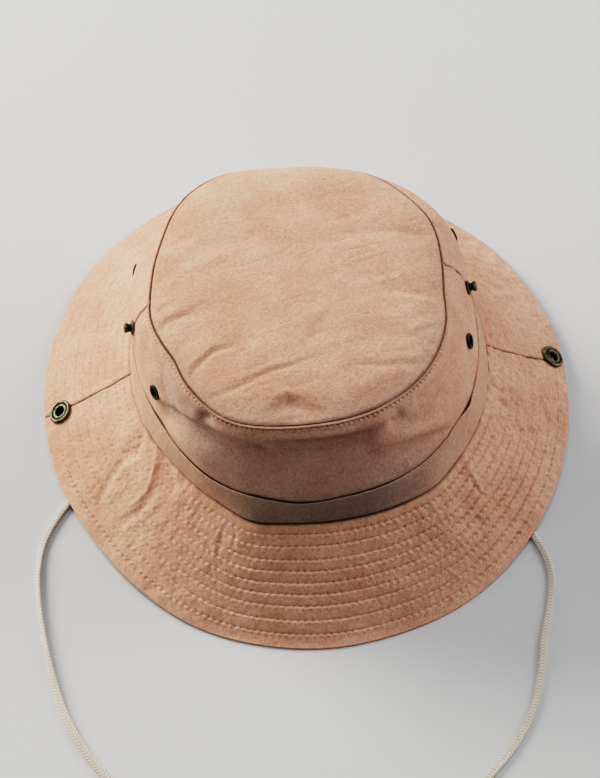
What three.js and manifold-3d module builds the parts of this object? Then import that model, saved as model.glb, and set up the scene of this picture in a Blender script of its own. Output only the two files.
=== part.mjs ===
// Safari hat: a soft cotton bush hat that stands on its brim, with its chin cord laid out in front.
// Millimetres, +Z up. The front faces -Y, X runs across the hat, the floor is z = 0 and the
// origin is under the middle of the brim.
import * as THREE from "three";
import { mergeVertices } from "three/addons/utils/BufferGeometryUtils.js";
import Module from "manifold-3d";

const wasm = await Module();
wasm.setup();

// ---------------------------------------------------------------- driving dimensions

const CLOTH = 1.2; // one wall of the crown, and the folded band
const BRIM_CLOTH = 2.2; // two layers of cloth with stiffening between them
const GAP = 0.3; // between neighbouring pieces
const SEAM_GAP = 0.4; // between the two halves of the crown or brim, along the side seams

// Outlines of the crown from the brim seam to the top seam. Each is a closed curve with its own
// middle (x, y), half width, half length and squareness (2 is an ellipse).
const CROWN_OUTLINES = [
  { z: 38.2, halfX: 88.0, halfY: 98.5, x: 1.0, y: -2.3, square: 2.07 },
  { z: 52.0, halfX: 84.4, halfY: 94.6, x: 0.2, y: -2.5, square: 2.1 },
  { z: 72.0, halfX: 78.6, halfY: 88.6, x: -1.8, y: -3.0, square: 2.15 },
  { z: 90.0, halfX: 72.4, halfY: 82.4, x: -3.6, y: -3.5, square: 2.22 },
  { z: 96.0, halfX: 69.5, halfY: 79.6, x: -4.1, y: -3.7, square: 2.25 },
];
const BRIM_JOINT = CROWN_OUTLINES[0];
const TOP_SEAM = CROWN_OUTLINES[CROWN_OUTLINES.length - 1];
const WALL_LOW = BRIM_JOINT.z - BRIM_CLOTH;
const WALL_HIGH = TOP_SEAM.z - CLOTH - GAP;
const RIM = { z: 0, halfX: 131.6, halfY: 146.3, x: 0, y: 0, square: 2 };

// The brim lies on the floor in front and behind and lifts at the sides, where the cord passes.
const RIM_LIFT = 5.3;
const FLAT_SHARE = 0.31; // of the half width, either side of the middle, that lies flat
const BRIM_SAG = 1.5; // how far the brim hollows between crown and rim

const TOP_DOME = 3.5; // rise of the top panel above its seam
const TOP_ROLL = 2.5; // how far the panel's edge turns down to the seam
const TOP_ROLL_EDGE = 10; // how sharply it turns
const BAND_TOP = 58.0;
const BAND_TUCK = 1.9; // how far the crown wall is drawn in behind the band
const TUCK_FROM = 14; // the wall starts to draw in this far below the band's top
const TUCK_TO = 4; // and is back at its full size this far above it

// Where each side seam runs: degrees round the hat from +X, at the crown and at the rim.
const SIDE_SEAMS = {
  left: { crown: 180.5, brimJoint: 181, rim: 181 },
  right: { crown: 3.5, brimJoint: -1.5, rim: 1.5 },
};

// Slow swellings of the outlines: where (degrees), how wide (degrees) and how far out.
const OUTLINE_BUMPS = {
  joint: [
    { at: 247, wide: 8, out: 3.0 },
    { at: 217, wide: 12, out: -1.4 },
    { at: 275, wide: 14, out: -1.2 },
    { at: 304, wide: 8, out: 1.5 },
  ],
  topSeam: [
    { at: 239, wide: 17, out: 3.7 },
    { at: 206, wide: 7, out: -1.6 },
    { at: 186, wide: 8, out: 1.9 },
    { at: 156, wide: 15, out: -2.0 },
    { at: 21, wide: 13, out: 2.3 },
    { at: 354, wide: 8, out: -1.4 },
    { at: 292, wide: 24, out: -1.0 },
  ],
  rim: [
    { at: 49, wide: 15, out: -3.0 },
    { at: 7, wide: 9, out: 1.1 },
    { at: 241, wide: 12, out: 1.3 },
    { at: 211, wide: 8, out: -1.0 },
    { at: 282, wide: 12, out: -1.0 },
  ],
};

// Fullness of the crown wall: the cloth puffs out beside and behind the top seam.
const WALL_FULLNESS = [
  { at: 158, z: 76, wide: 30, tall: 17, out: 6.0 },
  { at: 30, z: 78, wide: 31, tall: 18, out: 7.0 },
];
const FULLNESS_EASE = 0.86; // share of the wall's height where the fullness starts to die out

// At the back the top panel rolls over, and its seam lies lower.
const BACK_ROLL = { at: 84, wide: 24, drop: 8 };
const BACK_ROLL_EDGE = 20; // how sharply the roll keeps to the panel's edge

// Where the band's free top edge stands off the crown, and where it sits lower.
const BAND_GAPS = [
  { at: 242, wide: 30, out: 1.5 },
  { at: 285, wide: 16, out: 1.2 },
  { at: 327, wide: 4, out: 1.0 },
  { at: 183, wide: 5, out: 1.2 },
  { at: 90, wide: 34, out: 1.1 },
  { at: 28, wide: 14, out: 0.6 },
];
const BAND_SLUMP = { at: 262, wide: 20, drop: 4.5 };

// Folds of the crown wall: a path of (degrees, height), its half width and its depth, with a
// ridge as a negative depth.
const WALL_FOLDS = [
  { path: [[208, 68], [220, 77], [236, 83], [262, 86], [284, 85]], wide: 5, deep: 2.4 },
  { path: [[232, 90], [262, 92], [292, 91]], wide: 4, deep: -1.0 },
  { path: [[226, 88], [229, 90]], wide: 4.5, deep: 2.4 },
  { path: [[298, 89], [300, 90]], wide: 4.5, deep: 2.0 },
  { path: [[294, 62], [301, 67], [312, 70]], wide: 5, deep: 1.6 },
  { path: [[290, 75], [298, 79], [308, 80]], wide: 5, deep: -1.4 },
  { path: [[304, 60], [316, 62], [326, 64]], wide: 4, deep: -1.2 },
  { path: [[190, 85], [202, 84], [213, 76]], wide: 5, deep: 1.6 },
  { path: [[55, 66], [80, 72], [110, 68]], wide: 6, deep: 1.8 },
];

// Folds of the top panel: a path of (x, y), with the same widths and depths.
const TOP_FOLDS = [
  { path: [[-30, -74], [-22, -70], [-12, -72], [0, -77]], wide: 6, deep: 2.6 },
  { path: [[-52, -65], [-39, -60], [-26, -55], [-5, -49]], wide: 4.5, deep: 1.4 },
  { path: [[-61, -54], [-51, -43], [-31, -36]], wide: 4.5, deep: 1.3 },
  { path: [[-73, -25], [-62, -19], [-48, -16]], wide: 4.5, deep: 1.4 },
  { path: [[16, -54], [30, -55], [50, -56]], wide: 5, deep: 1.2 },
  { path: [[38, -14], [61, -18]], wide: 4.5, deep: 1.1 },
  { path: [[29, 22], [44, 23], [62, 19]], wide: 5, deep: 1.2 },
];

// How quickly folds die out towards the edges of the top panel and of the brim.
const TOP_FOLD_FADE = 12;
const BRIM_FOLD_FADE = 8;

// Creases of the brim: a path of (x, y).
const BRIM_FOLDS = [
  { path: [[-83, -36], [-84, -46]], wide: 5, deep: 1.8 },
  { path: [[-77, -52], [-84, -66], [-93, -72]], wide: 5, deep: -1.6 },
  { path: [[-91, -44], [-102, -52], [-110, -62]], wide: 6, deep: 1.4 },
  { path: [[-73, -62], [-92, -73], [-105, -76]], wide: 5, deep: 1.4 },
  { path: [[91, -27], [95, -38]], wide: 6, deep: 1.4 },
  { path: [[107, -22], [118, -34]], wide: 6, deep: 1.2 },
  { path: [[70, -73], [73, -84], [77, -91]], wide: 5, deep: -1.4 },
];

// Hardware, in darkened brass.
const SNAP_PLACES = {
  left: { angle: 181.5, share: 0.815 }, // of the way from crown to rim
  right: { angle: 2, share: 0.86 },
};
const SNAP_RADIUS = 6.3;
const SNAP_HEIGHT = 1.9;
const SNAP_HOLE = 2.4;
const SNAP_BARREL = 3.0; // outer radius of the barrel that passes through the brim
const CAP_THICK = 1.0;
const CAP_POST = 1.5;

const STUD_PLACES = { left: { angle: 180.5, z: 75 }, right: { angle: 3.5, z: 74 } };
const STUD_HEAD = 2.5;
const STUD_NECK = 1.9;
const STUD_FLANGE = 3.6;
const STUD_HEIGHT = 4.4;
const STUD_RIVET = 1.3;
const STUD_BACK = 4.6;

const EYELET_PLACES = {
  front_left: { angle: 202, z: 69 },
  front_right: { angle: 346, z: 72 },
  back_left: { angle: 158, z: 69 },
  back_right: { angle: 24, z: 72 },
};
const EYELET_HOLE = 2.3;
const EYELET_BARREL = 2.7;
const EYELET_FLANGE = 4.3;
const EYELET_BACK = 3.7;
const EYELET_THICK = 0.9;
const EYELET_GAP = 0.7; // its flat flanges clear the curved wall by this much
const HOLE_CLEARANCE = 0.3;
const DRILL_LENGTH = 12; // long enough to pass through any cloth wall

// Cloth tabs inside the crown's lower edge, and the chin cord that is sewn into them.
const TAB = { wide: 12, thick: 3, low: 29.5, high: 40 };
const CORD_RADIUS = 1.6;
const CORD_SIDES = 8;
const CORD_STEPS = 80;
const CORD_LIFT = CORD_RADIUS + 0.15; // height of its middle where it lies on the floor

// The cord's route, chosen by hand: down from the left tab, out under the rim, round a plain
// loop on the floor in front of the hat, and back under the rim to the right tab.
const CORD_ROUTE = [
  { x: -82.6, y: -2.5, z: 29.1 },
  { x: -82.9, y: -2.7, z: 22 },
  { x: -84.6, y: -4.4, z: 11 },
  { x: -91, y: -11.5, z: 3.3 },
  { x: -102, y: -25.5, z: CORD_LIFT },
  { x: -113, y: -39.8, z: CORD_LIFT },
  { x: -123.2, y: -53.4, z: CORD_LIFT },
  { x: -130, y: -63, z: CORD_LIFT },
  { x: -136, y: -75, z: CORD_LIFT },
  { x: -139, y: -89, z: CORD_LIFT },
  { x: -139.5, y: -106, z: CORD_LIFT },
  { x: -138, y: -126, z: CORD_LIFT },
  { x: -135, y: -148, z: CORD_LIFT },
  { x: -130.5, y: -167.5, z: CORD_LIFT },
  { x: -123, y: -186, z: CORD_LIFT },
  { x: -113, y: -202, z: CORD_LIFT },
  { x: -98, y: -222.5, z: CORD_LIFT },
  { x: -76, y: -243, z: CORD_LIFT },
  { x: -49, y: -257, z: CORD_LIFT },
  { x: -19, y: -262, z: CORD_LIFT },
  { x: 10, y: -257, z: CORD_LIFT },
  { x: 37, y: -241.5, z: CORD_LIFT },
  { x: 59.5, y: -220.5, z: CORD_LIFT },
  { x: 75, y: -204.5, z: CORD_LIFT },
  { x: 86, y: -187.5, z: CORD_LIFT },
  { x: 92, y: -171, z: CORD_LIFT },
  { x: 96.5, y: -152.5, z: CORD_LIFT },
  { x: 102.5, y: -134, z: CORD_LIFT },
  { x: 105.6, y: -119, z: CORD_LIFT },
  { x: 104.8, y: -107.5, z: CORD_LIFT },
  { x: 100.7, y: -94.2, z: CORD_LIFT },
  { x: 96.2, y: -76, z: CORD_LIFT },
  { x: 92.2, y: -50, z: CORD_LIFT },
  { x: 88.8, y: -25, z: CORD_LIFT },
  { x: 86.3, y: -10.5, z: 3.6 },
  { x: 84.9, y: -4, z: 12 },
  { x: 84.5, y: -2.4, z: 22 },
  { x: 84.4, y: -2.3, z: 29.1 },
];

// Mesh steps
const PANEL_SPANS = 36; // round half of the crown
const WALL_SPANS = 8; // up the crown wall
const BRIM_SPANS = 44; // round half of the brim
const BRIM_ROWS = 6; // from crown to rim
const BAND_SPANS = 84;
const TOP_SPANS = 60;
const TOP_RINGS = [0.14, 0.32, 0.5, 0.66, 0.8, 0.9, 0.96, 1];
const LATHE_SPANS = 14;

// Steps for surface normals, in degrees, millimetres of height and share of the brim's width
const ANGLE_STEP = 1;
const HEIGHT_STEP = 0.5;
const SHARE_STEP = 0.02;

// ---------------------------------------------------------------- materials

const cottonTan = new THREE.MeshStandardMaterial({ color: "#c9a283", roughness: 0.9 });
const cottonBand = new THREE.MeshStandardMaterial({ color: "#c39c7e", roughness: 0.88 });
const cordCream = new THREE.MeshStandardMaterial({ color: "#e6d3bb", roughness: 0.85 });
const darkBrass = new THREE.MeshStandardMaterial({
  color: "#4a4132",
  roughness: 0.42,
  metalness: 0.9,
});

// ---------------------------------------------------------------- small helpers

const radians = (degrees) => (degrees * Math.PI) / 180;

// Shortest way round from one angle to another, in degrees.
function turn(from, to) {
  return ((((to - from) % 360) + 540) % 360) - 180;
}

const bell = (distance, width) => Math.exp(-((distance / width) ** 2));

function bumpSum(bumps, angle) {
  return bumps.reduce((sum, b) => sum + b.out * bell(turn(b.at, angle), b.wide), 0);
}

function lerp(a, b, share) {
  return a + (b - a) * share;
}

// Distance in a plane from a point to a path of points.
function pathDistance(path, x, y) {
  let nearest = Infinity;
  for (let i = 0; i + 1 < path.length; i++) {
    const [ax, ay] = path[i];
    const [bx, by] = path[i + 1];
    const along = ((x - ax) * (bx - ax) + (y - ay) * (by - ay)) / ((bx - ax) ** 2 + (by - ay) ** 2);
    const share = THREE.MathUtils.clamp(along, 0, 1);
    nearest = Math.min(nearest, Math.hypot(x - lerp(ax, bx, share), y - lerp(ay, by, share)));
  }
  return nearest;
}

function foldDepth(folds, x, y) {
  return folds.reduce((sum, f) => sum + f.deep * bell(pathDistance(f.path, x, y), f.wide), 0);
}

// The same on the crown wall, unrolled round each fold's first point.
function wallFoldDepth(angle, z) {
  const arc = radians(BRIM_JOINT.halfX); // millimetres for each degree
  return WALL_FOLDS.reduce((sum, f) => {
    const start = f.path[0][0];
    const path = f.path.map(([a, h]) => [turn(start, a) * arc, h]);
    return sum + foldDepth([{ ...f, path }], turn(start, angle) * arc, z);
  }, 0);
}

// A point on a closed outline, with a swelling added outwards.
function onOutline(outline, angle, out = 0) {
  const c = Math.cos(radians(angle));
  const s = Math.sin(radians(angle));
  const power = 2 / outline.square;
  return new THREE.Vector3(
    outline.x + (outline.halfX + out) * Math.sign(c) * Math.abs(c) ** power,
    outline.y + (outline.halfY + out) * Math.sign(s) * Math.abs(s) ** power,
    outline.z,
  );
}

// ---------------------------------------------------------------- surfaces of the hat

const outlineKeys = ["halfX", "halfY", "x", "y", "square"];
const outlineCurve = new THREE.CubicInterpolant(
  CROWN_OUTLINES.map((row) => row.z),
  CROWN_OUTLINES.flatMap((row) => outlineKeys.map((key) => row[key])),
  outlineKeys.length,
);

function crownOutlineAt(z) {
  const held = THREE.MathUtils.clamp(z, BRIM_JOINT.z, TOP_SEAM.z);
  const values = outlineCurve.evaluate(held);
  const outline = { z };
  outlineKeys.forEach((key, i) => {
    outline[key] = values[i];
  });
  return outline;
}

const backDrop = (angle) => BACK_ROLL.drop * bell(turn(BACK_ROLL.at, angle), BACK_ROLL.wide);

// Outer surface of the crown wall before the band draws it in. z is the height that the point
// would have with no roll at the back.
function crownSkin(angle, z) {
  const share = (z - BRIM_JOINT.z) / (WALL_HIGH - BRIM_JOINT.z);
  const held = THREE.MathUtils.clamp(share, 0, 1);
  const fromJoint = bumpSum(OUTLINE_BUMPS.joint, angle) * (1 - held) ** 2;
  const fromSeam = bumpSum(OUTLINE_BUMPS.topSeam, angle) * held ** 2;
  const fullness = WALL_FULLNESS.reduce(
    (sum, f) => sum + f.out * bell(turn(f.at, angle), f.wide) * bell(z - f.z, f.tall),
    0,
  );
  const ease = 1 - THREE.MathUtils.smoothstep(share, FULLNESS_EASE, 1);
  const out = fromJoint + fromSeam + fullness * ease - wallFoldDepth(angle, z);
  const point = onOutline(crownOutlineAt(z), angle, out);
  point.z -= backDrop(angle) * held ** 2;
  return point;
}

// How far the wall is drawn in behind the band.
function tuck(z) {
  return BAND_TUCK * (1 - THREE.MathUtils.smoothstep(z, BAND_TOP - TUCK_FROM, BAND_TOP + TUCK_TO));
}

function towardsAxis(point, distance) {
  const flat = new THREE.Vector3(point.x, point.y, 0);
  return point.clone().addScaledVector(flat.normalize(), -distance);
}

const crownSurface = (angle, z) => towardsAxis(crownSkin(angle, z), tuck(z));

function bandSurface(angle, share) {
  const slump = BAND_SLUMP.drop * bell(turn(BAND_SLUMP.at, angle), BAND_SLUMP.wide);
  const z = lerp(WALL_LOW, BAND_TOP - slump, share);
  const standOff = (CLOTH + GAP + bumpSum(BAND_GAPS, angle)) * share ** 1.5;
  return towardsAxis(crownSkin(angle, z), -standOff);
}

function rimLift(angle) {
  const across = Math.abs(Math.cos(radians(angle)));
  return RIM_LIFT * THREE.MathUtils.smoothstep(across, FLAT_SHARE, 1);
}

// Top surface of the brim. share runs from the crown, 0, to the rim, 1.
function brimSurface(angle, share) {
  const jointOut = GAP + bumpSum(OUTLINE_BUMPS.joint, angle);
  const inner = onOutline(BRIM_JOINT, angle, jointOut);
  const outer = onOutline(RIM, angle, bumpSum(OUTLINE_BUMPS.rim, angle));
  outer.z = rimLift(angle);
  const point = inner.lerp(outer, share);
  point.z -= BRIM_SAG * 4 * share * (1 - share);
  const fade = Math.min(1, BRIM_FOLD_FADE * share * (1 - share));
  point.z -= foldDepth(BRIM_FOLDS, point.x, point.y) * fade;
  return point;
}

// Upper surface of the top panel. share runs from its middle, 0, to its seam, 1.
function topSurface(angle, share) {
  const edge = onOutline(TOP_SEAM, angle, bumpSum(OUTLINE_BUMPS.topSeam, angle));
  const middle = new THREE.Vector3(TOP_SEAM.x, TOP_SEAM.y, TOP_SEAM.z);
  const point = middle.lerp(edge, share);
  point.z += TOP_DOME * (1 - share ** 2) + TOP_ROLL * (1 - share ** TOP_ROLL_EDGE);
  point.z -= backDrop(angle) * share ** BACK_ROLL_EDGE;
  const fade = Math.min(1, TOP_FOLD_FADE * (1 - share));
  point.z -= foldDepth(TOP_FOLDS, point.x, point.y) * fade;
  return point;
}

// A surface's unit normal, from small steps along both of its coordinates.
function normalOf(surface, a, b, stepA, stepB) {
  const alongA = surface(a + stepA, b).sub(surface(a - stepA, b));
  const alongB = surface(a, b + stepB).sub(surface(a, b - stepB));
  return alongA.cross(alongB).normalize();
}

const wallNormal = (angle, z) => normalOf(crownSurface, angle, z, ANGLE_STEP, HEIGHT_STEP);
const brimNormal = (angle, share) =>
  normalOf(brimSurface, angle, share, ANGLE_STEP, SHARE_STEP).negate();

// ---------------------------------------------------------------- closed walls

// A closed solid between an outer and an inner grid of points. Rows run up or outwards, and
// columns run anticlockwise seen from above; a ring joins its last column to its first.
function wallBetween(outer, inner, isRing) {
  const rows = outer.length;
  const columns = outer[0].length;
  const positions = [...outer.flat(), ...inner.flat()].flatMap((p) => p.toArray());
  const at = (side, row, column) => side * rows * columns + row * columns + (column % columns);
  const index = [];
  const quad = (a, b, c, d) => index.push(a, b, c, a, c, d);
  const spans = isRing ? columns : columns - 1;
  for (let j = 0; j < spans; j++) {
    for (let i = 0; i + 1 < rows; i++) {
      quad(at(0, i, j), at(0, i, j + 1), at(0, i + 1, j + 1), at(0, i + 1, j));
      quad(at(1, i, j), at(1, i + 1, j), at(1, i + 1, j + 1), at(1, i, j + 1));
    }
    quad(at(0, 0, j), at(1, 0, j), at(1, 0, j + 1), at(0, 0, j + 1));
    const last = rows - 1;
    quad(at(0, last, j), at(0, last, j + 1), at(1, last, j + 1), at(1, last, j));
  }
  if (!isRing) {
    for (let i = 0; i + 1 < rows; i++) {
      quad(at(0, i, 0), at(0, i + 1, 0), at(1, i + 1, 0), at(1, i, 0));
      const end = columns - 1;
      quad(at(0, i, end), at(1, i, end), at(1, i + 1, end), at(0, i + 1, end));
    }
  }
  return geometryFrom(positions, index);
}

function geometryFrom(positions, index) {
  const geometry = new THREE.BufferGeometry();
  geometry.setAttribute("position", new THREE.Float32BufferAttribute(positions, 3));
  geometry.setIndex(index);
  geometry.computeVertexNormals();
  return geometry;
}

const steps = (count) => Array.from({ length: count + 1 }, (_, i) => i / count);

// Half of the crown wall, between two side seams given in degrees.
function crownPanel(from, to) {
  const halfGap = SEAM_GAP / 2 / radians(BRIM_JOINT.halfX);
  const angles = steps(PANEL_SPANS).map((u) => lerp(from + halfGap, to - halfGap, u));
  const heights = steps(WALL_SPANS).map((v) => lerp(WALL_LOW, WALL_HIGH, v));
  const outer = heights.map((z) => angles.map((a) => crownSurface(a, z)));
  const inner = heights.map((z) => angles.map((a) => towardsAxis(crownSurface(a, z), CLOTH)));
  return wallBetween(outer, inner, false);
}

function bandRing() {
  const angles = steps(BAND_SPANS).slice(0, -1).map((u) => 360 * u);
  const shares = [0, 0.5, 1];
  const outer = shares.map((v) => angles.map((a) => bandSurface(a, v)));
  const inner = shares.map((v) => angles.map((a) => towardsAxis(bandSurface(a, v), CLOTH)));
  return wallBetween(outer, inner, true);
}

// Half of the brim, in rows from the rim up to the crown. Its underside ends level with the rim,
// so that the edge stands flat.
function brimHalf(seamFrom, seamTo) {
  const shares = steps(BRIM_ROWS).reverse();
  const anglesAt = (share) => {
    const from = lerp(seamFrom.brimJoint, seamFrom.rim, share);
    const to = lerp(seamTo.brimJoint, seamTo.rim, share);
    const halfGap = SEAM_GAP / 2 / radians(lerp(BRIM_JOINT.halfX, RIM.halfX, share));
    return steps(BRIM_SPANS).map((u) => lerp(from + halfGap, to - halfGap, u));
  };
  const upper = shares.map((share) => anglesAt(share).map((angle) => brimSurface(angle, share)));
  const lower = shares.map((share, row) =>
    anglesAt(share).map((angle, column) => brimUnderside(angle, share, upper[row][column])),
  );
  return wallBetween(upper, lower, false);
}

// The underside lies one brim thickness below the top surface, except at its two edges: the
// crown edge is upright, and the rim edge is level.
function brimUnderside(angle, share, above) {
  if (share === 0) return above.clone().setZ(above.z - BRIM_CLOTH / Math.cos(brimSlope(angle)));
  if (share === 1) {
    const landWidth = BRIM_CLOTH / Math.sin(brimSlope(angle));
    return towardsAxis(above, landWidth);
  }
  return above.clone().addScaledVector(brimNormal(angle, share), -BRIM_CLOTH);
}

function brimSlope(angle) {
  const inner = brimSurface(angle, 0);
  const outer = brimSurface(angle, 1);
  const run = Math.hypot(outer.x - inner.x, outer.y - inner.y);
  return Math.atan2(inner.z - outer.z, run);
}

// The domed top panel: rings of points about a middle point, above and below.
function topPanel() {
  const angles = steps(TOP_SPANS).slice(0, -1).map((u) => 360 * u);
  const above = TOP_RINGS.map((r) => angles.map((a) => topSurface(a, r)));
  const below = above.map((ring) => ring.map((p) => p.clone().setZ(p.z - CLOTH)));
  const middle = topSurface(0, 0);
  const points = [...above.flat(), ...below.flat(), middle, middle.clone().setZ(middle.z - CLOTH)];
  const rings = TOP_RINGS.length;
  const at = (side, ring, column) => (side * rings + ring) * TOP_SPANS + (column % TOP_SPANS);
  const middleAbove = 2 * rings * TOP_SPANS;
  const index = [];
  const quad = (a, b, c, d) => index.push(a, b, c, a, c, d);
  for (let j = 0; j < TOP_SPANS; j++) {
    index.push(middleAbove, at(0, 0, j), at(0, 0, j + 1));
    index.push(middleAbove + 1, at(1, 0, j + 1), at(1, 0, j));
    for (let i = 0; i + 1 < rings; i++) {
      quad(at(0, i, j), at(0, i + 1, j), at(0, i + 1, j + 1), at(0, i, j + 1));
      quad(at(1, i, j), at(1, i, j + 1), at(1, i + 1, j + 1), at(1, i + 1, j));
    }
    const edge = rings - 1;
    quad(at(0, edge, j), at(1, edge, j), at(1, edge, j + 1), at(0, edge, j + 1));
  }
  return geometryFrom(points.flatMap((p) => p.toArray()), index);
}

// ---------------------------------------------------------------- cutting

function solidOf(geometry) {
  const bare = geometry.clone();
  bare.deleteAttribute("normal");
  bare.deleteAttribute("uv");
  const merged = mergeVertices(bare, 1e-4);
  const mesh = new wasm.Mesh({
    numProp: 3,
    vertProperties: new Float32Array(merged.attributes.position.array),
    triVerts: new Uint32Array(merged.index.array),
  });
  return new wasm.Manifold(mesh);
}

function geometryOf(solid) {
  const mesh = solid.getMesh();
  return geometryFrom(Array.from(mesh.vertProperties), Array.from(mesh.triVerts));
}

// Puts an object at a place, with its own +Y turned along the place's outward normal.
function seat(object, place) {
  object.position.copy(place.point);
  object.quaternion.setFromUnitVectors(new THREE.Vector3(0, 1, 0), place.normal);
  return object;
}

// Cuts round holes through a cloth wall.
function pierce(geometry, holes) {
  let solid = solidOf(geometry);
  for (const hole of holes) {
    const drill = new THREE.CylinderGeometry(hole.radius, hole.radius, DRILL_LENGTH, LATHE_SPANS);
    const placed = seat(new THREE.Object3D(), hole.place);
    placed.updateMatrix();
    solid = solid.subtract(solidOf(drill.applyMatrix4(placed.matrix)));
  }
  return geometryOf(solid);
}

// ---------------------------------------------------------------- hardware

function lathe(profile) {
  const points = profile.map(([r, y]) => new THREE.Vector2(r, y));
  return new THREE.LatheGeometry([...points, points[0]], LATHE_SPANS);
}

// Socket of a snap: a rolled ring round a deep hole, with a barrel down through the cloth.
function snapSocket() {
  return lathe([
    [SNAP_HOLE, -BRIM_CLOTH - GAP],
    [SNAP_BARREL, -BRIM_CLOTH - GAP],
    [SNAP_BARREL, GAP],
    [SNAP_RADIUS - 0.3, GAP],
    [SNAP_RADIUS, GAP + 0.4],
    [SNAP_RADIUS - 0.2, SNAP_HEIGHT - 0.4],
    [SNAP_RADIUS - 0.8, SNAP_HEIGHT],
    [SNAP_RADIUS - 1.7, SNAP_HEIGHT - 0.1],
    [SNAP_RADIUS - 2.2, SNAP_HEIGHT - 0.6],
    [SNAP_HOLE + 0.5, SNAP_HEIGHT - 0.5],
    [SNAP_HOLE, SNAP_HEIGHT - 0.9],
  ]);
}

// Plain cap under the brim, with the post that its socket is riveted to.
function snapCap() {
  const top = -BRIM_CLOTH - GAP;
  return new THREE.LatheGeometry(
    [
      [0, top - GAP - CAP_THICK],
      [SNAP_RADIUS - 1.5, top - GAP - CAP_THICK + 0.15],
      [SNAP_RADIUS, top - GAP - 0.3],
      [SNAP_RADIUS, top - GAP],
      [CAP_POST, top - GAP],
      [CAP_POST, -0.4],
      [0, -0.2],
    ].map(([r, y]) => new THREE.Vector2(r, y)),
    LATHE_SPANS,
  );
}

// Stud of a snap, standing out of the crown wall, with its rivet through the cloth.
function snapStud() {
  return new THREE.LatheGeometry(
    [
      [0, -CLOTH - GAP],
      [STUD_RIVET, -CLOTH - GAP],
      [STUD_RIVET, GAP],
      [STUD_FLANGE, GAP],
      [STUD_FLANGE, GAP + 0.6],
      [STUD_NECK, GAP + 1.0],
      [STUD_NECK, STUD_HEIGHT - 1.6],
      [STUD_HEAD, STUD_HEIGHT - 1.1],
      [STUD_HEAD - 0.2, STUD_HEIGHT - 0.3],
      [STUD_NECK - 0.2, STUD_HEIGHT],
      [0, STUD_HEIGHT],
    ].map(([r, y]) => new THREE.Vector2(r, y)),
    LATHE_SPANS,
  );
}

// Plain back of the stud, inside the crown.
function studBack() {
  const outside = -CLOTH - 2 * GAP;
  return new THREE.LatheGeometry(
    [
      [0, outside - CAP_THICK],
      [STUD_BACK - 0.6, outside - CAP_THICK],
      [STUD_BACK, outside - CAP_THICK + 0.5],
      [STUD_BACK, outside],
      [0, outside],
    ].map(([r, y]) => new THREE.Vector2(r, y)),
    LATHE_SPANS,
  );
}

// Air eyelet: one ring that grips the wall between a rolled flange and a flat one.
function eyelet() {
  const back = -CLOTH - EYELET_GAP;
  return lathe([
    [EYELET_HOLE, back - 0.3],
    [EYELET_HOLE + 0.3, back - 0.7],
    [EYELET_BACK, back - 0.6],
    [EYELET_BACK, back],
    [EYELET_BARREL, back],
    [EYELET_BARREL, EYELET_GAP],
    [EYELET_FLANGE, EYELET_GAP],
    [EYELET_FLANGE - 0.1, EYELET_GAP + 0.5],
    [EYELET_FLANGE - 0.8, EYELET_GAP + EYELET_THICK],
    [EYELET_HOLE + 0.3, EYELET_GAP + EYELET_THICK - 0.2],
    [EYELET_HOLE, EYELET_GAP + 0.3],
  ]);
}

// ---------------------------------------------------------------- tab and cord

// A sewn tab that hangs inside the crown's lower edge. side is -1 at the left, +1 at the right.
function cordTab(side) {
  const angle = side < 0 ? 180 : 0;
  const wall = (z) => Math.abs(crownSurface(angle, z).x) - CLOTH - 3 * GAP;
  const low = wall(TAB.low);
  const high = wall(TAB.high);
  const outline = new THREE.Shape([
    new THREE.Vector2(low, TAB.low),
    new THREE.Vector2(high, TAB.high),
    new THREE.Vector2(high - TAB.thick, TAB.high),
    new THREE.Vector2(low - TAB.thick, TAB.low),
  ]);
  const geometry = new THREE.ExtrudeGeometry(outline, { depth: TAB.wide, bevelEnabled: false });
  geometry.rotateX(Math.PI / 2);
  geometry.translate(0, TAB.wide / 2, 0);
  if (side < 0) geometry.rotateZ(Math.PI);
  geometry.translate(0, BRIM_JOINT.y, 0);
  return geometry;
}

function chinCord() {
  const route = CORD_ROUTE.map((p) => new THREE.Vector3(p.x, p.y, p.z));
  const curve = new THREE.CatmullRomCurve3(route, false, "centripetal");
  const section = new THREE.Shape(
    steps(CORD_SIDES)
      .slice(0, -1)
      .map((u) => {
        const angle = 2 * Math.PI * (u + 0.5 / CORD_SIDES);
        return new THREE.Vector2(CORD_RADIUS * Math.cos(angle), CORD_RADIUS * Math.sin(angle));
      }),
  );
  return new THREE.ExtrudeGeometry(section, {
    steps: CORD_STEPS,
    extrudePath: curve,
    bevelEnabled: false,
  });
}

// ---------------------------------------------------------------- places and assembly

const wallPlace = ({ angle, z }) => ({
  point: crownSurface(angle, z),
  normal: wallNormal(angle, z),
});
const brimPlace = ({ angle, share }) => ({
  point: brimSurface(angle, share),
  normal: brimNormal(angle, share),
});

const snapPlaces = Object.entries(SNAP_PLACES).map(([side, spot]) => [side, brimPlace(spot)]);
const studPlaces = Object.entries(STUD_PLACES).map(([side, spot]) => [side, wallPlace(spot)]);
const eyeletPlaces = Object.entries(EYELET_PLACES).map(([name, spot]) => [name, wallPlace(spot)]);

const snapHoles = snapPlaces.map(([, place]) => ({
  place,
  radius: SNAP_BARREL + HOLE_CLEARANCE,
}));
const wallHoles = [
  ...studPlaces.map(([, place]) => ({ place, radius: STUD_RIVET + HOLE_CLEARANCE })),
  ...eyeletPlaces.map(([, place]) => ({ place, radius: EYELET_BARREL + HOLE_CLEARANCE })),
];

const hat = new THREE.Group();

function add(name, geometry, material, place) {
  const mesh = new THREE.Mesh(geometry, material);
  mesh.name = name;
  hat.add(place ? seat(mesh, place) : mesh);
}

const { left, right } = SIDE_SEAMS;
const rightFurther = { crown: right.crown + 360, brimJoint: right.brimJoint + 360, rim: right.rim + 360 };

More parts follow.
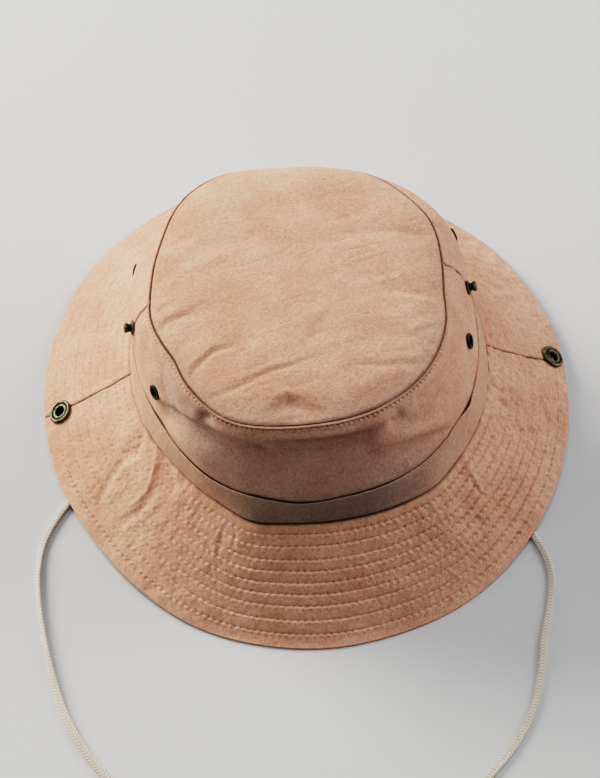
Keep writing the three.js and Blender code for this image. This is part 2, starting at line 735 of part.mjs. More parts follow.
add("crown_top", topPanel(), cottonTan);
add("crown_back_panel", pierce(crownPanel(right.crown, left.crown), wallHoles), cottonTan);
add("crown_front_panel", pierce(crownPanel(left.crown, rightFurther.crown), wallHoles), cottonTan);
add("band", bandRing(), cottonBand);
add("brim_back", pierce(brimHalf(right, left), snapHoles), cottonTan);
add("brim_front", pierce(brimHalf(left, rightFurther), snapHoles), cottonTan);

for (const [side, place] of snapPlaces) {
  add(`brim_snap_${side}`, snapSocket(), darkBrass, place);
  add(`brim_snap_cap_${side}`, snapCap(), darkBrass, place);
}
for (const [side, place] of studPlaces) {
  add(`crown_stud_${side}`, snapStud(), darkBrass, place);
  add(`crown_stud_back_${side}`, studBack(), darkBrass, place);
}
for (const [name, place] of eyeletPlaces) {
  add(`eyelet_${name}`, eyelet(), darkBrass, place);
}

add("cord_tab_left", cordTab(-1), cottonTan);
add("cord_tab_right", cordTab(1), cottonTan);
add("chin_cord", chinCord(), cordCream);

export default hat;
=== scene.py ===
"""A soft cotton safari hat that stands on its brim, with its chin cord laid on the floor.

The numbers below are millimetres and degrees in the model's own frame: +Z up, the front faces -Y,
and angles run round the hat from +X. Meshes are made in metres.
"""
import math

import bpy
import numpy as np
from mathutils import Matrix, Vector


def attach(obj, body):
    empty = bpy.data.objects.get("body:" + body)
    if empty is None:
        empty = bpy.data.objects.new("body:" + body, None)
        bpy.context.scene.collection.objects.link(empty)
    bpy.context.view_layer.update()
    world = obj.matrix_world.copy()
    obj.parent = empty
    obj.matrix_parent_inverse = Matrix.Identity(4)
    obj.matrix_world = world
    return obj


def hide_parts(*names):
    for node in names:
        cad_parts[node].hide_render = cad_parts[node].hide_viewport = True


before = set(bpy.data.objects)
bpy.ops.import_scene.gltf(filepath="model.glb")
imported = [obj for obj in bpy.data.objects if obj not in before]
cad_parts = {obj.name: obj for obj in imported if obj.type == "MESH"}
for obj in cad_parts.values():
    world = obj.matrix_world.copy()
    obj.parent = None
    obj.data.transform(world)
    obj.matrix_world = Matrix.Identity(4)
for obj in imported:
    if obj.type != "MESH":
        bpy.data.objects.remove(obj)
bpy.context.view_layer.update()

MM = 0.001

# ------------------------------------------------------------------ main sizes and broad shapes

# The outlines of the crown and the rim are the CAD's. The dome, the folds and the tabs began as
# the CAD's and differ from it.
CROWN_OUTLINES = [  # z, half width, half length, middle x, middle y, squareness
    (38.2, 88.0, 98.5, 1.0, -2.3, 2.07),
    (52.0, 84.4, 94.6, 0.2, -2.5, 2.10),
    (72.0, 78.6, 88.6, -1.8, -3.0, 2.15),
    (90.0, 72.4, 82.4, -3.6, -3.5, 2.22),
    (96.0, 69.5, 79.6, -4.1, -3.7, 2.25),
]
JOINT_Z, SEAM_Z = CROWN_OUTLINES[0][0], CROWN_OUTLINES[-1][0]
WALL_LOW, WALL_HIGH = 36.0, 94.5
RIM = dict(z=0.0, half_x=131.6, half_y=146.3, x=0.0, y=0.0, square=2.0)
# The rim lies flat at the front and the back, where the cosine of the angle is below FLAT_SHARE.
RIM_LIFT, FLAT_SHARE, BRIM_SAG = 5.3, 0.31, 1.5
TOP_DOME, TOP_ROLL, TOP_ROLL_EDGE = 5.6, 2.5, 8  # dome, drop at the edge, how late it drops
TUCK_FROM, TUCK_TO = 18, -2  # the wall's tuck eases out between these heights at the band's edge
BAND_STAND_OFF = 1.3  # of the band's top edge from the wall
BRIM_GAP = 0.3  # between the brim and the crown's foot

# Slow swellings of the outlines: where (degrees), how wide (degrees), how far out.
JOINT_BUMPS = [(247, 8, 3.0), (217, 12, -1.4), (275, 14, -1.2), (304, 8, 1.5)]
TOP_BUMPS = [(239, 17, 3.7), (206, 7, -1.6), (186, 8, 1.9), (156, 15, -2.0), (21, 13, 2.3),
             (354, 8, -1.4), (292, 24, -1.0)]
RIM_BUMPS = [(49, 15, -3.0), (7, 9, 1.1), (241, 12, 1.3), (211, 8, -1.0), (282, 12, -1.0)]
BAND_GAPS = [(242, 26, 0.35), (285, 16, 0.2), (328, 4, 1.0), (90, 34, 0.8), (0, 22, -0.5),
             (180, 18, -0.5)]
BACK_ROLL, BACK_ROLL_EDGE = (84, 24, 8.0), 20  # the crown's back edge rolls down here
WALL_FULLNESS = [(158, 76, 30, 17, 6.0), (30, 78, 31, 18, 7.0)]  # degrees, z, wide, tall, out
FULLNESS_EASE = 0.86
FRONT_BULGES = [  # the wall swells out over the band: degrees, wide, z, tall, out
    (268, 34, 58, 9, 2.2), (226, 10, 64, 12, 1.5),
]

# Broad folds, along about the same lines as in the CAD: a path, its half width and its depth; a
# ridge has a negative depth.
WALL_FOLDS = [  # paths of (degrees, z)
    ([(209, 64.5), (219, 71), (231, 77), (243, 80), (262, 82), (284, 82)], 6, 2.3),
    ([(237, 88.5), (244, 90), (262, 92), (292, 91)], 4, -1.0),
    ([(228, 86.5), (230, 88.5)], 3.4, 3.2),
    ([(297, 84.5), (299, 85.5)], 3.6, 1.9),
    ([(296, 68), (303, 66), (311, 62)], 4, 1.0),
    ([(289, 77), (297, 76), (304, 74), (311, 69), (317, 65)], 4, -1.1),
    ([(297, 60), (304, 61), (314, 58)], 2.6, -0.7),
    ([(324, 84), (316, 84), (306, 82)], 3.5, -0.8),
    ([(190, 85), (202, 84), (213, 76)], 5, 1.6),
    ([(55, 66), (80, 72), (110, 68)], 6, 1.8),
]
TOP_FOLDS = [  # paths of (x, y)
    ([(-52, -65), (-39, -61), (-26, -56), (-5, -51)], 4.0, 0.2),
    ([(-61, -54), (-51, -43), (-31, -37)], 4.0, 0.4),
    ([(-73, -25), (-62, -19), (-48, -16)], 4.5, 0.6),
    ([(16, -54), (30, -55), (50, -56)], 4.5, 0.5),
    ([(38, -14), (61, -18)], 4.0, 0.6),
    ([(29, 22), (44, 23), (62, 19)], 5, 0.6),
]
# The top drops early along this path, on its right side as it runs: over how wide a step, and what
# share of its height above the seam it loses.
TOP_STEP = ([(-26, -75), (-21, -71), (-16, -68), (-12, -70), (-6, -74), (2, -78)], 5.5, 0.9)
BRIM_FOLDS = [  # paths of (x, y)
    ([(-83, -37), (-86, -45)], 5, 1.3),
    ([(-77, -50), (-79, -57), (-84, -66), (-93, -69)], 5, -0.6),
    ([(-91, -44), (-102, -52), (-110, -62)], 6, 0.7),
    ([(-73, -62), (-92, -76), (-105, -79)], 5, 0.4),
    ([(90, -25), (93, -35)], 5, 1.5),
    ([(107, -22), (118, -34)], 6, 0.7),
    ([(70, -73), (73, -84), (77, -91)], 5, -1.4),
]
TOP_FOLD_FADE, BRIM_FOLD_FADE = 12, 8  # how fast the folds fade towards the seams

# Degrees at the crown, the brim joint and the rim; how far the seam wanders over the crown, about
# which z and how slowly; and between which heights the wander sets in.
SIDE_SEAMS = {
    "left": dict(crown=180.5, joint=181.0, rim=181.0, wander=(0.35, 70, 9.0), from_z=(78, 84)),
    "right": dict(crown=3.5, joint=-1.5, rim=1.5, wander=(1.1, 60, 13.0), from_z=(76, 82)),
}
SNAP_PLACES = {"left": (181.5, 0.815), "right": (2, 0.86)}
STUD_PLACES = {"left": (180.5, 75), "right": (3.5, 74)}
EYELET_PLACES = {"front_left": (202, 69), "front_right": (346, 72), "back_left": (158, 69),
                 "back_right": (24, 72)}
TAB = dict(wide=12, thick=3, low=28.2, high=40)
CORD_LIFT = 1.75
CORD_ON_FLOOR = [  # x, y
    (-102, -25.5), (-113, -39.8), (-123.2, -53.4), (-130, -63), (-136, -75), (-139, -89),
    (-139.5, -106), (-138, -126), (-135, -148), (-130.5, -167.5), (-123, -186), (-113, -202),
    (-98, -222.5), (-76, -243), (-49, -257), (-19, -262), (10, -257), (37, -241.5),
    (59.5, -220.5), (75, -204.5), (86, -187.5), (92, -171), (96.5, -152.5), (102.5, -134),
    (105.6, -119), (104.8, -107.5), (100.7, -94.2), (96.2, -76), (92.2, -50), (88.8, -25),
]
CORD_ROUTE = [  # x, y, z, from the left tab to the right one
    (-82.6, -2.5, 29.1), (-82.9, -2.7, 22), (-84.6, -4.4, 11), (-91, -11.5, 3.3),
    *[(x, y, CORD_LIFT) for x, y in CORD_ON_FLOOR],
    (86.3, -10.5, 3.6), (84.9, -4, 12), (84.5, -2.4, 22), (84.4, -2.3, 29.1),
]

# ------------------------------------------------------------------ sizes of the visible detail

WALL_CLOTH, BAND_CLOTH, BRIM_CLOTH, RIM_CLOTH = 1.1, 1.1, 1.8, 1.25
SEAM_HALF_GAP = 0.07  # half the gap between two cloth edges at a side seam
SEAM_ROLL = 0.45  # how deep each edge rolls into a side seam
SEAM_ROLL_WIDTH = 0.5
WELT_HEIGHT = 0.12
TOP_GROOVE = 0.2  # depth of the groove along the top's stitch line
# Small crumples of the cloth, as width and height, and the dimples round studs and eyelets.
TOP_CRUMPLES, WALL_CRUMPLES, BAND_CRUMPLES = (19.0, 0.25), (15.0, 0.28), (12.0, 0.1)
BRIM_CRUMPLES, DIMPLES = (8.0, 0.65), (5.0, 0.5)
FINE_SIZE, FINE_HEIGHT = 2.9, 0.24
TOP_PULL, WALL_PULL = 0.14, 0.16  # height of the short folds that the top seam pulls up
UNDER_RELIEF = 0.4  # how much of the brim's relief shows underneath
BRIM_WEAVE, BAND_BIAS = 0.8, 0.35  # scale of the brim's weave, and slant of the band's
LOWEST_UPPER = 1.0  # no point of the brim's upper surface lies lower
# How dark the painted shade is at a side seam, at the top seam on the top and on the wall, on the
# wall's turned-in edge, and on the wall behind the band.
SEAM_DARK, TOP_DARK, WALL_DARK, TURNED_DARK, BEHIND_DARK = 0.75, 1.25, 1.2, 0.9, 1.1
CREASE_STEP = 0.7  # half width of the crease where the brim and the band meet the crown
THIN_EDGE = 0.4  # cloth thickness where the top and the wall run into their seam
TOP_REACH = 75.0  # from the middle of the top to its seam, about
WALL_DEGREES = 178  # half of the wall, from seam to seam, about
BAND_TOP = 57.5  # usual height of the band's top edge
BRIM_REACH, BRIM_LENGTH = 58.0, 360.0  # of half the brim: across it, and along it, about
RIM_SHARE = 0.97  # outside this share of the brim its cloth is the bare edge
EYELET_HOLE = 3.2  # radius of the hole in the wall's cloth
SNAP_CALM = 6.5  # round a snap, the brim has no puckers within about this distance
# Painted shade on the wall behind the band's edge.
BEHIND_BAND = (12, 8)  # the wall's dark mark fades out this far below the band's edge

# Stitch rows of the brim, as shares of the way from crown to rim, and the stitches in them.
BRIM_ROWS = [0.083, 0.175, 0.280, 0.370, 0.465, 0.555, 0.650, 0.765, 0.880]
BRIM_PITCH, BRIM_STITCH = 3.3, 2.3  # distance between needle holes, and thread that shows
TOP_PITCH, TOP_STITCH = 2.4, 1.7
THREAD_RADIUS = 0.15
THREAD_SUNK = 0.19
NO_STITCH = (0.5, 50.0)  # stitch coordinates of cloth that has none
WELL_DEPTH, WELL_RADII = 1.72, (2.4, 3.1)  # the hole in the brim inside a snap socket

# The tables from here to TOP_CREASE_STRENGTH hold (degrees round the hat, value) rows.

# How high the brim's channels puff up.
RIB_HEIGHTS = [(0, 0.08), (20, 0.08), (60, 0.08), (110, 0.08), (165, 0.07), (195, 0.07),
               (215, 0.16), (235, 0.36), (255, 0.55), (285, 0.7), (305, 0.8), (320, 0.7),
               (336, 0.3), (350, 0.1)]
# How strongly the brim is puckered.
PUCKERS = [(0, 0.9), (25, 0.8), (60, 0.5), (120, 0.5), (170, 0.35), (195, 0.4), (215, 0.48),
           (232, 0.42), (250, 0.38), (290, 0.35), (330, 0.6), (348, 0.95)]
# The same for its finest crumples.
FINE_PUCKERS = [(0, 2.2), (25, 1.7), (60, 0.7), (120, 0.7), (170, 0.6), (195, 0.6), (215, 0.7),
                (250, 0.6), (290, 0.6), (318, 1.5), (335, 2.7), (350, 2.8)]
# Height of the band's top edge, and how far the wall tucks in behind it.
BAND_HEIGHTS = [(0, BAND_TOP), (180, BAND_TOP), (200, 56.8), (214, 54.2), (228, 52.2),
                (238, 52.4), (246, 54.8), (250, 55.0), (256, 53.4), (263, 51.9), (270, 53.6),
                (278, 55.2), (292, 55.6), (308, 57.4), (318, 57.6), (326, 57.6), (332, 56.6),
                (345, 57.0)]
BAND_TUCKS = [(0, 0.0), (20, 0.0), (60, 1.0), (120, 1.0), (150, 0.2), (175, 0.0), (199, 0.0),
              (207, 1.6), (225, 2.3), (262, 2.4), (304, 2.2), (312, 0.4), (321, 0.0), (324, 0.6),
              (328, 1.1), (332, 0.5), (335, 0.0)]
# How far above the band's edge the wall stays dark: painted shade in the gap behind the band's
# edge.
GAP_DARK = [(0, 0), (198, 0), (204, 0.8), (222, 0.8), (240, 0.3), (300, 0.2), (310, 0)]
# How much darker the cloth of the wall and the band is painted: painted shade on their front,
# which faces away from the light. The wall's pattern leans by WALL_SHADE_LEAN degrees in a
# millimetre of height.
WALL_SHADE = [(0, 0), (198, 0), (207, 0.15), (215, 0.42), (225, 0.65), (240, 0.68), (262, 0.58),
              (285, 0.56), (298, 0.42), (308, 0.2), (325, 0.05), (340, 0)]
BAND_SHADE = [(0, 0), (200, 0), (225, 0.15), (240, 0.55), (248, 0.9), (262, 1), (284, 1),
              (296, 0.6), (308, 0.25), (322, 0.05), (340, 0)]
# The same painted shade for the top near its seam.
EDGE_SHADE = [(0, 0.2), (60, 0), (180, 0), (200, 0.1), (218, 0.5), (240, 0.4), (262, 0.5),
              (300, 0.5), (330, 0.35)]
EDGE_SHADE_WIDTH = 8.0
WALL_SHADE_LEAN, WALL_SHADE_Z = 1.2, 68
# How far down the wall from the top seam the stitch line runs.
TOP_STITCH_BELOW = [(0, 2.2), (60, 2.9), (150, 2.9), (200, 3.1), (215, 2.9), (236, 2.1),
                    (262, 1.95), (320, 2.0), (345, 2.1)]
# How dark and how deep the seam round the top is: it sets the painted shade along the seam and
# how deep its groove is.
SEAM_SHADE = [(0, 0.7), (60, 0.85), (140, 0.85), (180, 0.9), (215, 0.85), (226, 0.8), (236, 0.35),
              (256, 0.15), (272, 0.2), (300, 0.4), (330, 0.6)]
# How plainly the needle holes below that seam show: their painted shade and their dip.
SEAM_HOLES = [(0, 0.9), (60, 0.6), (150, 0.6), (190, 1.0), (220, 1.3), (240, 1.5), (300, 1.5),
              (340, 1.2)]
# How dark the crease at the band's foot is: the painted shade in it; it also sets how deep that
# crease is.
FOOT_SHADE = [(0, 0.2), (60, 0.3), (150, 0.3), (190, 0.35), (228, 0.3), (240, 0.5), (250, 0.9),
              (290, 0.85), (306, 0.4), (322, 0.15)]
# How plainly the needle holes show, in the outermost row and the others: their painted shade and
# their dip.
RIM_HOLES = [(0, 0.6), (40, 0.35), (160, 0.35), (185, 0.5), (200, 0.8), (225, 1.0), (262, 0.75),
             (300, 0.45), (335, 0.9)]
ROW_HOLES = [(0, 0.17), (40, 0.22), (160, 0.3), (200, 0.42), (230, 0.48), (262, 0.6), (300, 0.55),
             (325, 0.3), (345, 0.17)]

TOP_CREASE_STRENGTH, WALL_CREASE_STRENGTH, BRIM_CREASE_STRENGTH = 0.9, 1.6, 1.3

# Sharp creases on top of the broad folds: a path, its half width, its depth, and the height of the
# soft ridge beside it, on its left side as the path runs (negative: on its right side).
TOP_CREASES = [
    ([(-73, -13.5), (-68, -11.5), (-62, -10.5)], 1.4, 0.45, 0.3),
    ([(-72, -25), (-68, -20.5), (-62, -18.5), (-56, -19)], 1.5, 0.7, 0.4),
    ([(-60.5, -54), (-57.5, -49), (-52.5, -45), (-47, -41), (-38.5, -40.5)], 1.4, 0.9, 0.35),
    ([(-54, -68), (-50.5, -65.5), (-40.5, -63), (-30, -59), (-23, -55.5), (-13.5, -54), (-4, -51)],
     1.2, 0.5, 0.2),
    ([(-24, -82), (-17, -81), (-11, -79.5)], 1.2, 0.35, 0.2),
    ([(30, 20), (45, 21), (63, 17)], 2.0, 0.4, 0.25),
    ([(39, -16), (49, -17), (62, -20)], 1.5, 0.4, -0.3),
    ([(45, -41), (50.5, -38), (55.5, -36.3), (60, -36.6)], 1.4, 0.4, 0.25),
    ([(17, -56), (30, -57), (41, -56), (51, -55.7)], 1.6, 0.5, 0.3),
    ([(-62, -4), (-50, 4), (-32, 10)], 3.0, 0.3, 0.2),
    ([(-3, -40), (5, -30), (11, -24)], 2.6, 0.3, 0.25),
    ([(34, -40), (52, -45), (60, -45)], 3.0, 0.3, 0.2),
    ([(-66, 8), (-50, 18), (-20, 24)], 4.0, 0.25, 0.2),
    ([(-10, 40), (14, 46), (40, 44)], 4.5, 0.25, 0.2),
    ([(-4, 72), (3, 66), (16, 60)], 2.5, 0.4, 0.35),
]
WALL_CREASES = [
    ([(207, 67), (214, 71), (220, 75.2), (226, 79), (232, 82.2), (238, 84), (244, 84), (253, 82)],
     2.2, 1.0, 0.6),
    ([(242, 85), (252, 86.3), (264, 87), (280, 86.3), (296, 85.5)], 1.6, 0.7, 0.45),
    ([(338, 83), (334, 84.7), (330, 86)], 1.1, 0.4, 0.2),
    ([(326, 86.5), (317, 88), (308, 87)], 1.6, 0.6, -0.4),
    ([(190, 82), (202, 80), (210, 74)], 2.0, 0.5, -0.4),
    ([(290, 74), (298, 72), (306, 68), (314, 62)], 2.2, 0.3, 0.25),
    ([(318, 78), (330, 84)], 2.2, 0.3, 0.3),
    ([(322, 70), (336, 77)], 2.2, 0.25, 0.3),
    ([(346, 84), (356, 89)], 1.4, 0.6, 0.4),
    ([(342, 80), (350, 86)], 1.2, 0.4, 0.3),
    ([(2, 82), (6, 90)], 1.3, 0.4, 0.3),
    ([(184, 68), (188, 62)], 1.2, 0.4, 0.3),
    ([(178, 66), (181, 60)], 1.2, 0.35, -0.3),
    ([(60, 76), (84, 79), (104, 75)], 3.0, 0.5, 0.3),
    ([(118, 64), (132, 70), (140, 78)], 3.0, 0.5, 0.4),
]
BRIM_CREASES = [
    ([(-83, -37), (-85, -42), (-88, -47)], 1.8, 0.6, 0.3),
    ([(-76, -51), (-74, -56), (-71, -62)], 1.6, 0.7, 0.3),
    ([(-77.2, -48.5), (-78.7, -56.3), (-81.3, -62), (-84.3, -66), (-89, -68), (-93, -69)],
     1.1, -0.5, 0.0),
    ([(-98, -74), (-90, -73), (-84, -71), (-80, -67)], 1.8, 0.4, -0.3),
    ([(-90, -43), (-101, -51), (-109, -60)], 2.0, 0.4, 0.3),
    ([(88.5, -23), (89, -27), (90.5, -30)], 1.8, 1.1, 0.3),
    ([(90.5, -33), (92.7, -34.2), (95.5, -36.5)], 1.5, 0.9, 0.3),
    ([(95, -28.5), (98.5, -27.5), (101.5, -28.5)], 1.4, 0.8, 0.3),
    ([(107, -28), (108.5, -26.5), (111, -22)], 1.5, 0.6, 0.3),
    ([(91, -13), (91.5, -20.5), (96, -22.5), (102, -23.5), (107.5, -27), (114, -29.5)],
     1.3, -0.55, 0.0),
    ([(95, -49), (103, -47), (111, -45)], 1.4, 0.4, 0.3),
    ([(68, -69), (69.5, -74), (74.5, -81.5), (78, -84)], 1.3, -0.6, 0.0),
    ([(71, -74), (71.5, -79), (74, -84)], 1.4, 0.6, 0.0),
    ([(-50, -95), (-53, -103)], 1.1, 0.4, -0.3),
    ([(-44, -98), (-46, -104)], 1.0, 0.25, 0.15),
    ([(104, 30), (112, 40)], 1.8, 0.4, 0.3),
    ([(-98, 30), (-110, 44)], 2.0, 0.35, 0.3),
]


# ------------------------------------------------------------------ small helpers

def turn(start, end):
    """Shortest way round from one angle to another, in degrees."""
    return np.mod(np.mod(end - start, 360) + 540, 360) - 180


def bell(distance, width):
    return np.exp(-((distance / width) ** 2))


def smoothstep(x, low, high):
    t = np.clip((x - low) / (high - low), 0, 1)
    return t * t * (3 - 2 * t)


def lerp(a, b, share):
    return a + (b - a) * share


def signed_power(value, power):
    """A power of a value that keeps its sign."""
    return np.sign(value) * np.abs(value) ** power


def run_of(points):
    """Distance run along a line, at each of its points."""
    return np.concatenate([[0], np.cumsum(np.linalg.norm(np.diff(points, axis=0), axis=1))])


def stacked(*parts):
    return np.stack(np.broadcast_arrays(*parts), -1)


def circle(count):
    return np.linspace(0, 2 * math.pi, count, endpoint=False)


def ring_closed(grid, axis=1):
    """A grid with its first column again at the end."""
    return np.concatenate([grid, np.take(grid, [0], axis)], axis)


def points_at(where, run, points):
    """Points of a line at distances along it, from the distance run at each of its points."""
    return np.stack([np.interp(where, run, points[:, k]) for k in range(3)], -1)


def gap_to(points, place):
    return np.linalg.norm(points - place, axis=-1)


def xy(points):
    return points[..., 0], points[..., 1]


def bump_sum(bumps, angle):
    return sum(out * bell(turn(at, angle), wide) for at, wide, out in bumps)


def put_in_scene(name, data):
    made = bpy.data.objects.new(name, data)
    bpy.context.scene.collection.objects.link(made)
    return made


def from_table(rows, angle):
    """Value at an angle, from (angle, value) rows."""
    return np.interp(angle, *zip(*rows), period=360)


def unit(vectors):
    return vectors / np.maximum(np.linalg.norm(vectors, axis=-1, keepdims=True), 1e-12)


RANDOM = np.random.RandomState(7)
HASHES = RANDOM.permutation(256)
SLOPES = unit(RANDOM.normal(size=(256, 3)))


def noise(x, y, z=0.0):
    """Smooth noise, about -1 to 1, with features one unit wide."""
    p = stacked(x, y, z).astype(float)
    cell = np.floor(p).astype(int)
    inside = p - cell
    eased = inside**3 * (inside * (inside * 6 - 15) + 10)
    total = 0.0
    for corner in np.ndindex(2, 2, 2):
        key = 0
        for axis in range(3):
            key = HASHES[(key + cell[..., axis] + corner[axis]) & 255]
        slope = (SLOPES[key] * (inside - corner)).sum(-1)
        weight = np.prod(np.where(corner, eased, 1 - eased), axis=-1)
        total = total + slope * weight
    return 1.6 * total


def along_path(path, x, y):
    """Distance to a path, which side of it (1 left, -1 right), and the share along it."""
    path = np.asarray(path, float)
    before = run_of(path)
    lengths = np.diff(before)
    nearest = np.full(np.shape(x), np.inf)
    side, share = np.ones(np.shape(x)), np.zeros(np.shape(x))
    for i, (a, b) in enumerate(zip(path[:-1], path[1:])):
        ux, uy = (b - a) / lengths[i]
        along = np.clip((x - a[0]) * ux + (y - a[1]) * uy, 0, lengths[i])
        dx, dy = x - a[0] - ux * along, y - a[1] - uy * along
        distance = np.hypot(dx, dy)
        closer = distance < nearest
        nearest = np.where(closer, distance, nearest)
        side = np.where(closer, np.sign(ux * dy - uy * dx), side)
        share = np.where(closer, (before[i] + along) / before[-1], share)
    return nearest, side, share


def fold_depth(folds, points):
    return sum(deep * bell(along_path(path, *xy(points))[0], wide) for path, wide, deep in folds)


def crease_height(creases, x, y, strength):
    """A sharp valley that fades at its ends, with a soft ridge beside it."""
    total = np.zeros(np.shape(x))
    for path, wide, deep, ridge in creases:
        distance, side, share = along_path(path, x, y)
        fade = 0.35 + 0.65 * np.sin(math.pi * np.clip(share, 0, 1)) ** 0.7
        beside = bell(distance * side * np.sign(ridge or 1) - 2.1 * wide, 1.3 * wide)
        total += fade * (abs(ridge) * beside - deep * bell(distance, wide))
    return strength * total


# ------------------------------------------------------------------ surfaces of the hat

OUTLINE_KEYS = ("half_x", "half_y", "x", "y", "square")
OUTLINE_TABLE = np.array(CROWN_OUTLINES)
OUTLINE_CURVES = {
    key: np.polyfit(OUTLINE_TABLE[:, 0], OUTLINE_TABLE[:, i + 1], 3)
    for i, key in enumerate(OUTLINE_KEYS)
}
DEGREE_ARC = math.radians(CROWN_OUTLINES[0][1])  # millimetres of crown wall in a degree


def crown_row(z):
    held = np.clip(z, JOINT_Z, SEAM_Z)
    return dict(z=z, **{key: np.polyval(curve, held) for key, curve in OUTLINE_CURVES.items()})


def on_outline(row, angle, out=0.0):
    c, s = np.cos(np.radians(angle)), np.sin(np.radians(angle))
    power = 2 / row["square"]
    x = row["x"] + (row["half_x"] + out) * signed_power(c, power)
    y = row["y"] + (row["half_y"] + out) * signed_power(s, power)
    return stacked(x, y, row["z"] + 0 * x)


def towards_axis(points, distance):
    flat = points * (1, 1, 0)
    return points - unit(flat) * np.expand_dims(distance, -1)


def back_drop(angle):
    at, wide, drop = BACK_ROLL
    return drop * bell(turn(at, angle), wide)


def unrolled(path, angle):
    """A path of (degrees, z), and angles, as millimetres round from the path's first point."""
    start = path[0][0]
    return [(turn(start, a) * DEGREE_ARC, z) for a, z in path], turn(start, angle) * DEGREE_ARC


def wall_fold_depth(angle, z):
    return sum(deep * bell(along_path(*unrolled(path, angle), z)[0], wide)
               for path, wide, deep in WALL_FOLDS)


def crown_skin(angle, z):
    angle, z = np.broadcast_arrays(np.asarray(angle, float), np.asarray(z, float))
    share = (z - JOINT_Z) / (WALL_HIGH - JOINT_Z)
    held = np.clip(share, 0, 1)
    out = bump_sum(JOINT_BUMPS, angle) * (1 - held) ** 2 + bump_sum(TOP_BUMPS, angle) * held**2
    ease = 1 - smoothstep(share, FULLNESS_EASE, 1)
    for at, height, wide, tall, full in WALL_FULLNESS:
        out = out + full * bell(turn(at, angle), wide) * bell(z - height, tall) * ease
    for at, wide, height, tall, full in FRONT_BULGES:
        out = out + full * bell(turn(at, angle), wide) * bell(z - height, tall)
    points = on_outline(crown_row(z), angle, out - wall_fold_depth(angle, z))
    points[..., 2] -= back_drop(angle) * held**2
    return points


def crown_surface(angle, z):
    top = band_height(angle)
    tuck = from_table(BAND_TUCKS, angle) * (1 - smoothstep(z, top - TUCK_FROM, top + TUCK_TO))
    return towards_axis(crown_skin(angle, z), tuck)


def band_height(angle):
    """Height of the band's top edge."""
    return sum(from_table(BAND_HEIGHTS, angle + step) for step in (-4, -2, 0, 2, 4)) / 5


def band_surface(angle, share):
    z = lerp(WALL_LOW, band_height(angle), share)
    held = np.clip(share, 0, None)
    stand_off = (BAND_STAND_OFF + bump_sum(BAND_GAPS, angle)) * held**1.5
    return towards_axis(crown_skin(angle, z), -stand_off)


def rim_lift(angle):
    return RIM_LIFT * smoothstep(np.abs(np.cos(np.radians(angle))), FLAT_SHARE, 1)


def brim_edges(angle):
    inner = on_outline(crown_row(JOINT_Z), angle, BRIM_GAP + bump_sum(JOINT_BUMPS, angle))
    outer = on_outline(RIM, angle, bump_sum(RIM_BUMPS, angle))
    outer[..., 2] = rim_lift(angle)
    return inner, outer


# The brim's upper and under surface ease out near the floor: to which height, from which height,
# and how softly.
UPPER_EASE, UNDER_EASE = (1.15, 1.15, 0.7), (0.06, 0.26, 0.2)


def eased_out(z, low, start, soft):
    return low + soft * np.logaddexp(0, (z - start) / soft)


def brim_surface(angle, share):
    inner, outer = brim_edges(angle)
    points = lerp(inner, outer, np.expand_dims(share, -1))
    fade = np.minimum(1, BRIM_FOLD_FADE * share * (1 - share))
    z = points[..., 2] - BRIM_SAG * 4 * share * (1 - share)
    z = z - fold_depth(BRIM_FOLDS, points) * fade
    points[..., 2] = eased_out(z, *UPPER_EASE)
    return points


def top_surface(angle, share):
    row = crown_row(SEAM_Z)
    edge = on_outline(row, angle, bump_sum(TOP_BUMPS, angle))
    middle = np.array([row["x"], row["y"], SEAM_Z])
    points = lerp(middle, edge, np.expand_dims(share, -1))
    fade = np.minimum(1, TOP_FOLD_FADE * (1 - share))
    height = TOP_DOME * (1 - share**2) + TOP_ROLL * (1 - share**TOP_ROLL_EDGE)
    path, wide, lost = TOP_STEP
    distance, side, along = along_path(path, *xy(points))
    beyond = smoothstep(-side * distance, -0.3 * wide, 0.7 * wide) * np.sin(math.pi * along) ** 0.6
    points[..., 2] += height * (1 - lost * beyond)
    points[..., 2] -= back_drop(angle) * share**BACK_ROLL_EDGE
    points[..., 2] -= fold_depth(TOP_FOLDS, points) * fade
    return points


def normals_of(surface, a, b, step_a, step_b, sign=1):
    """Unit normals of surface(a, b), from small steps along both of its coordinates."""
    along_a = surface(a + step_a, b) - surface(a - step_a, b)
    along_b = surface(a, b + step_b) - surface(a, b - step_b)
    return sign * unit(np.cross(along_a, along_b))


def wall_normals(angle, z):
    return normals_of(crown_surface, angle, z, 0.5, 0.3)


def brim_normals(angle, share):
    return normals_of(brim_surface, angle, share, 0.5, 0.01, -1)


def top_normals(angle, share):
    return normals_of(top_surface, angle, share, 0.5, 0.01, -1)


def crumple(points, size, high):
    """Height of small soft crumples, from noise in space."""
    x, y, z = np.moveaxis(points / size, -1, 0)
    return high * (noise(x, y, z) + 0.4 * noise(2.3 * x, 2.3 * y, 2.3 * z))


def wrinkles(x, y):
    """Height of faint long wrinkles that run across the top, with a thin crease in each."""
    along, across = x * 0.97 + y * 0.24, y * 0.97 - x * 0.24
    swell = noise(along / 26, across / 7.5, 7.7)
    patchy = smoothstep(noise(x / 24, y / 24, 2.2), -0.35, 0.45)
    return 0.25 * swell - 0.24 * patchy * bell(swell, 0.1)


def welt(distance, at, wide):
    """Height of the soft welt that lies beside every seam."""
    return WELT_HEIGHT * bell(distance - at, wide)


def seam_roll(distance):
    """Height of cloth beside a side seam: its edge rolls in, next to a slight welt."""
    return welt(distance, 1.3, 0.9) - SEAM_ROLL * bell(distance, SEAM_ROLL_WIDTH)


# ------------------------------------------------------------------ detail of each surface

# Height of the crown wall near the top seam, by distance down the wall: the edge curls into the
# seam and a narrow welt stands beside it.
TOP_SEAM_SECTION = np.array([
    (0.55, -0.85), (0.63, -0.4), (0.72, 0.0), (0.82, 0.28), (0.95, 0.44), (1.2, 0.5),
    (1.5, 0.34), (1.8, 0.1), (2.2, 0.0),
])
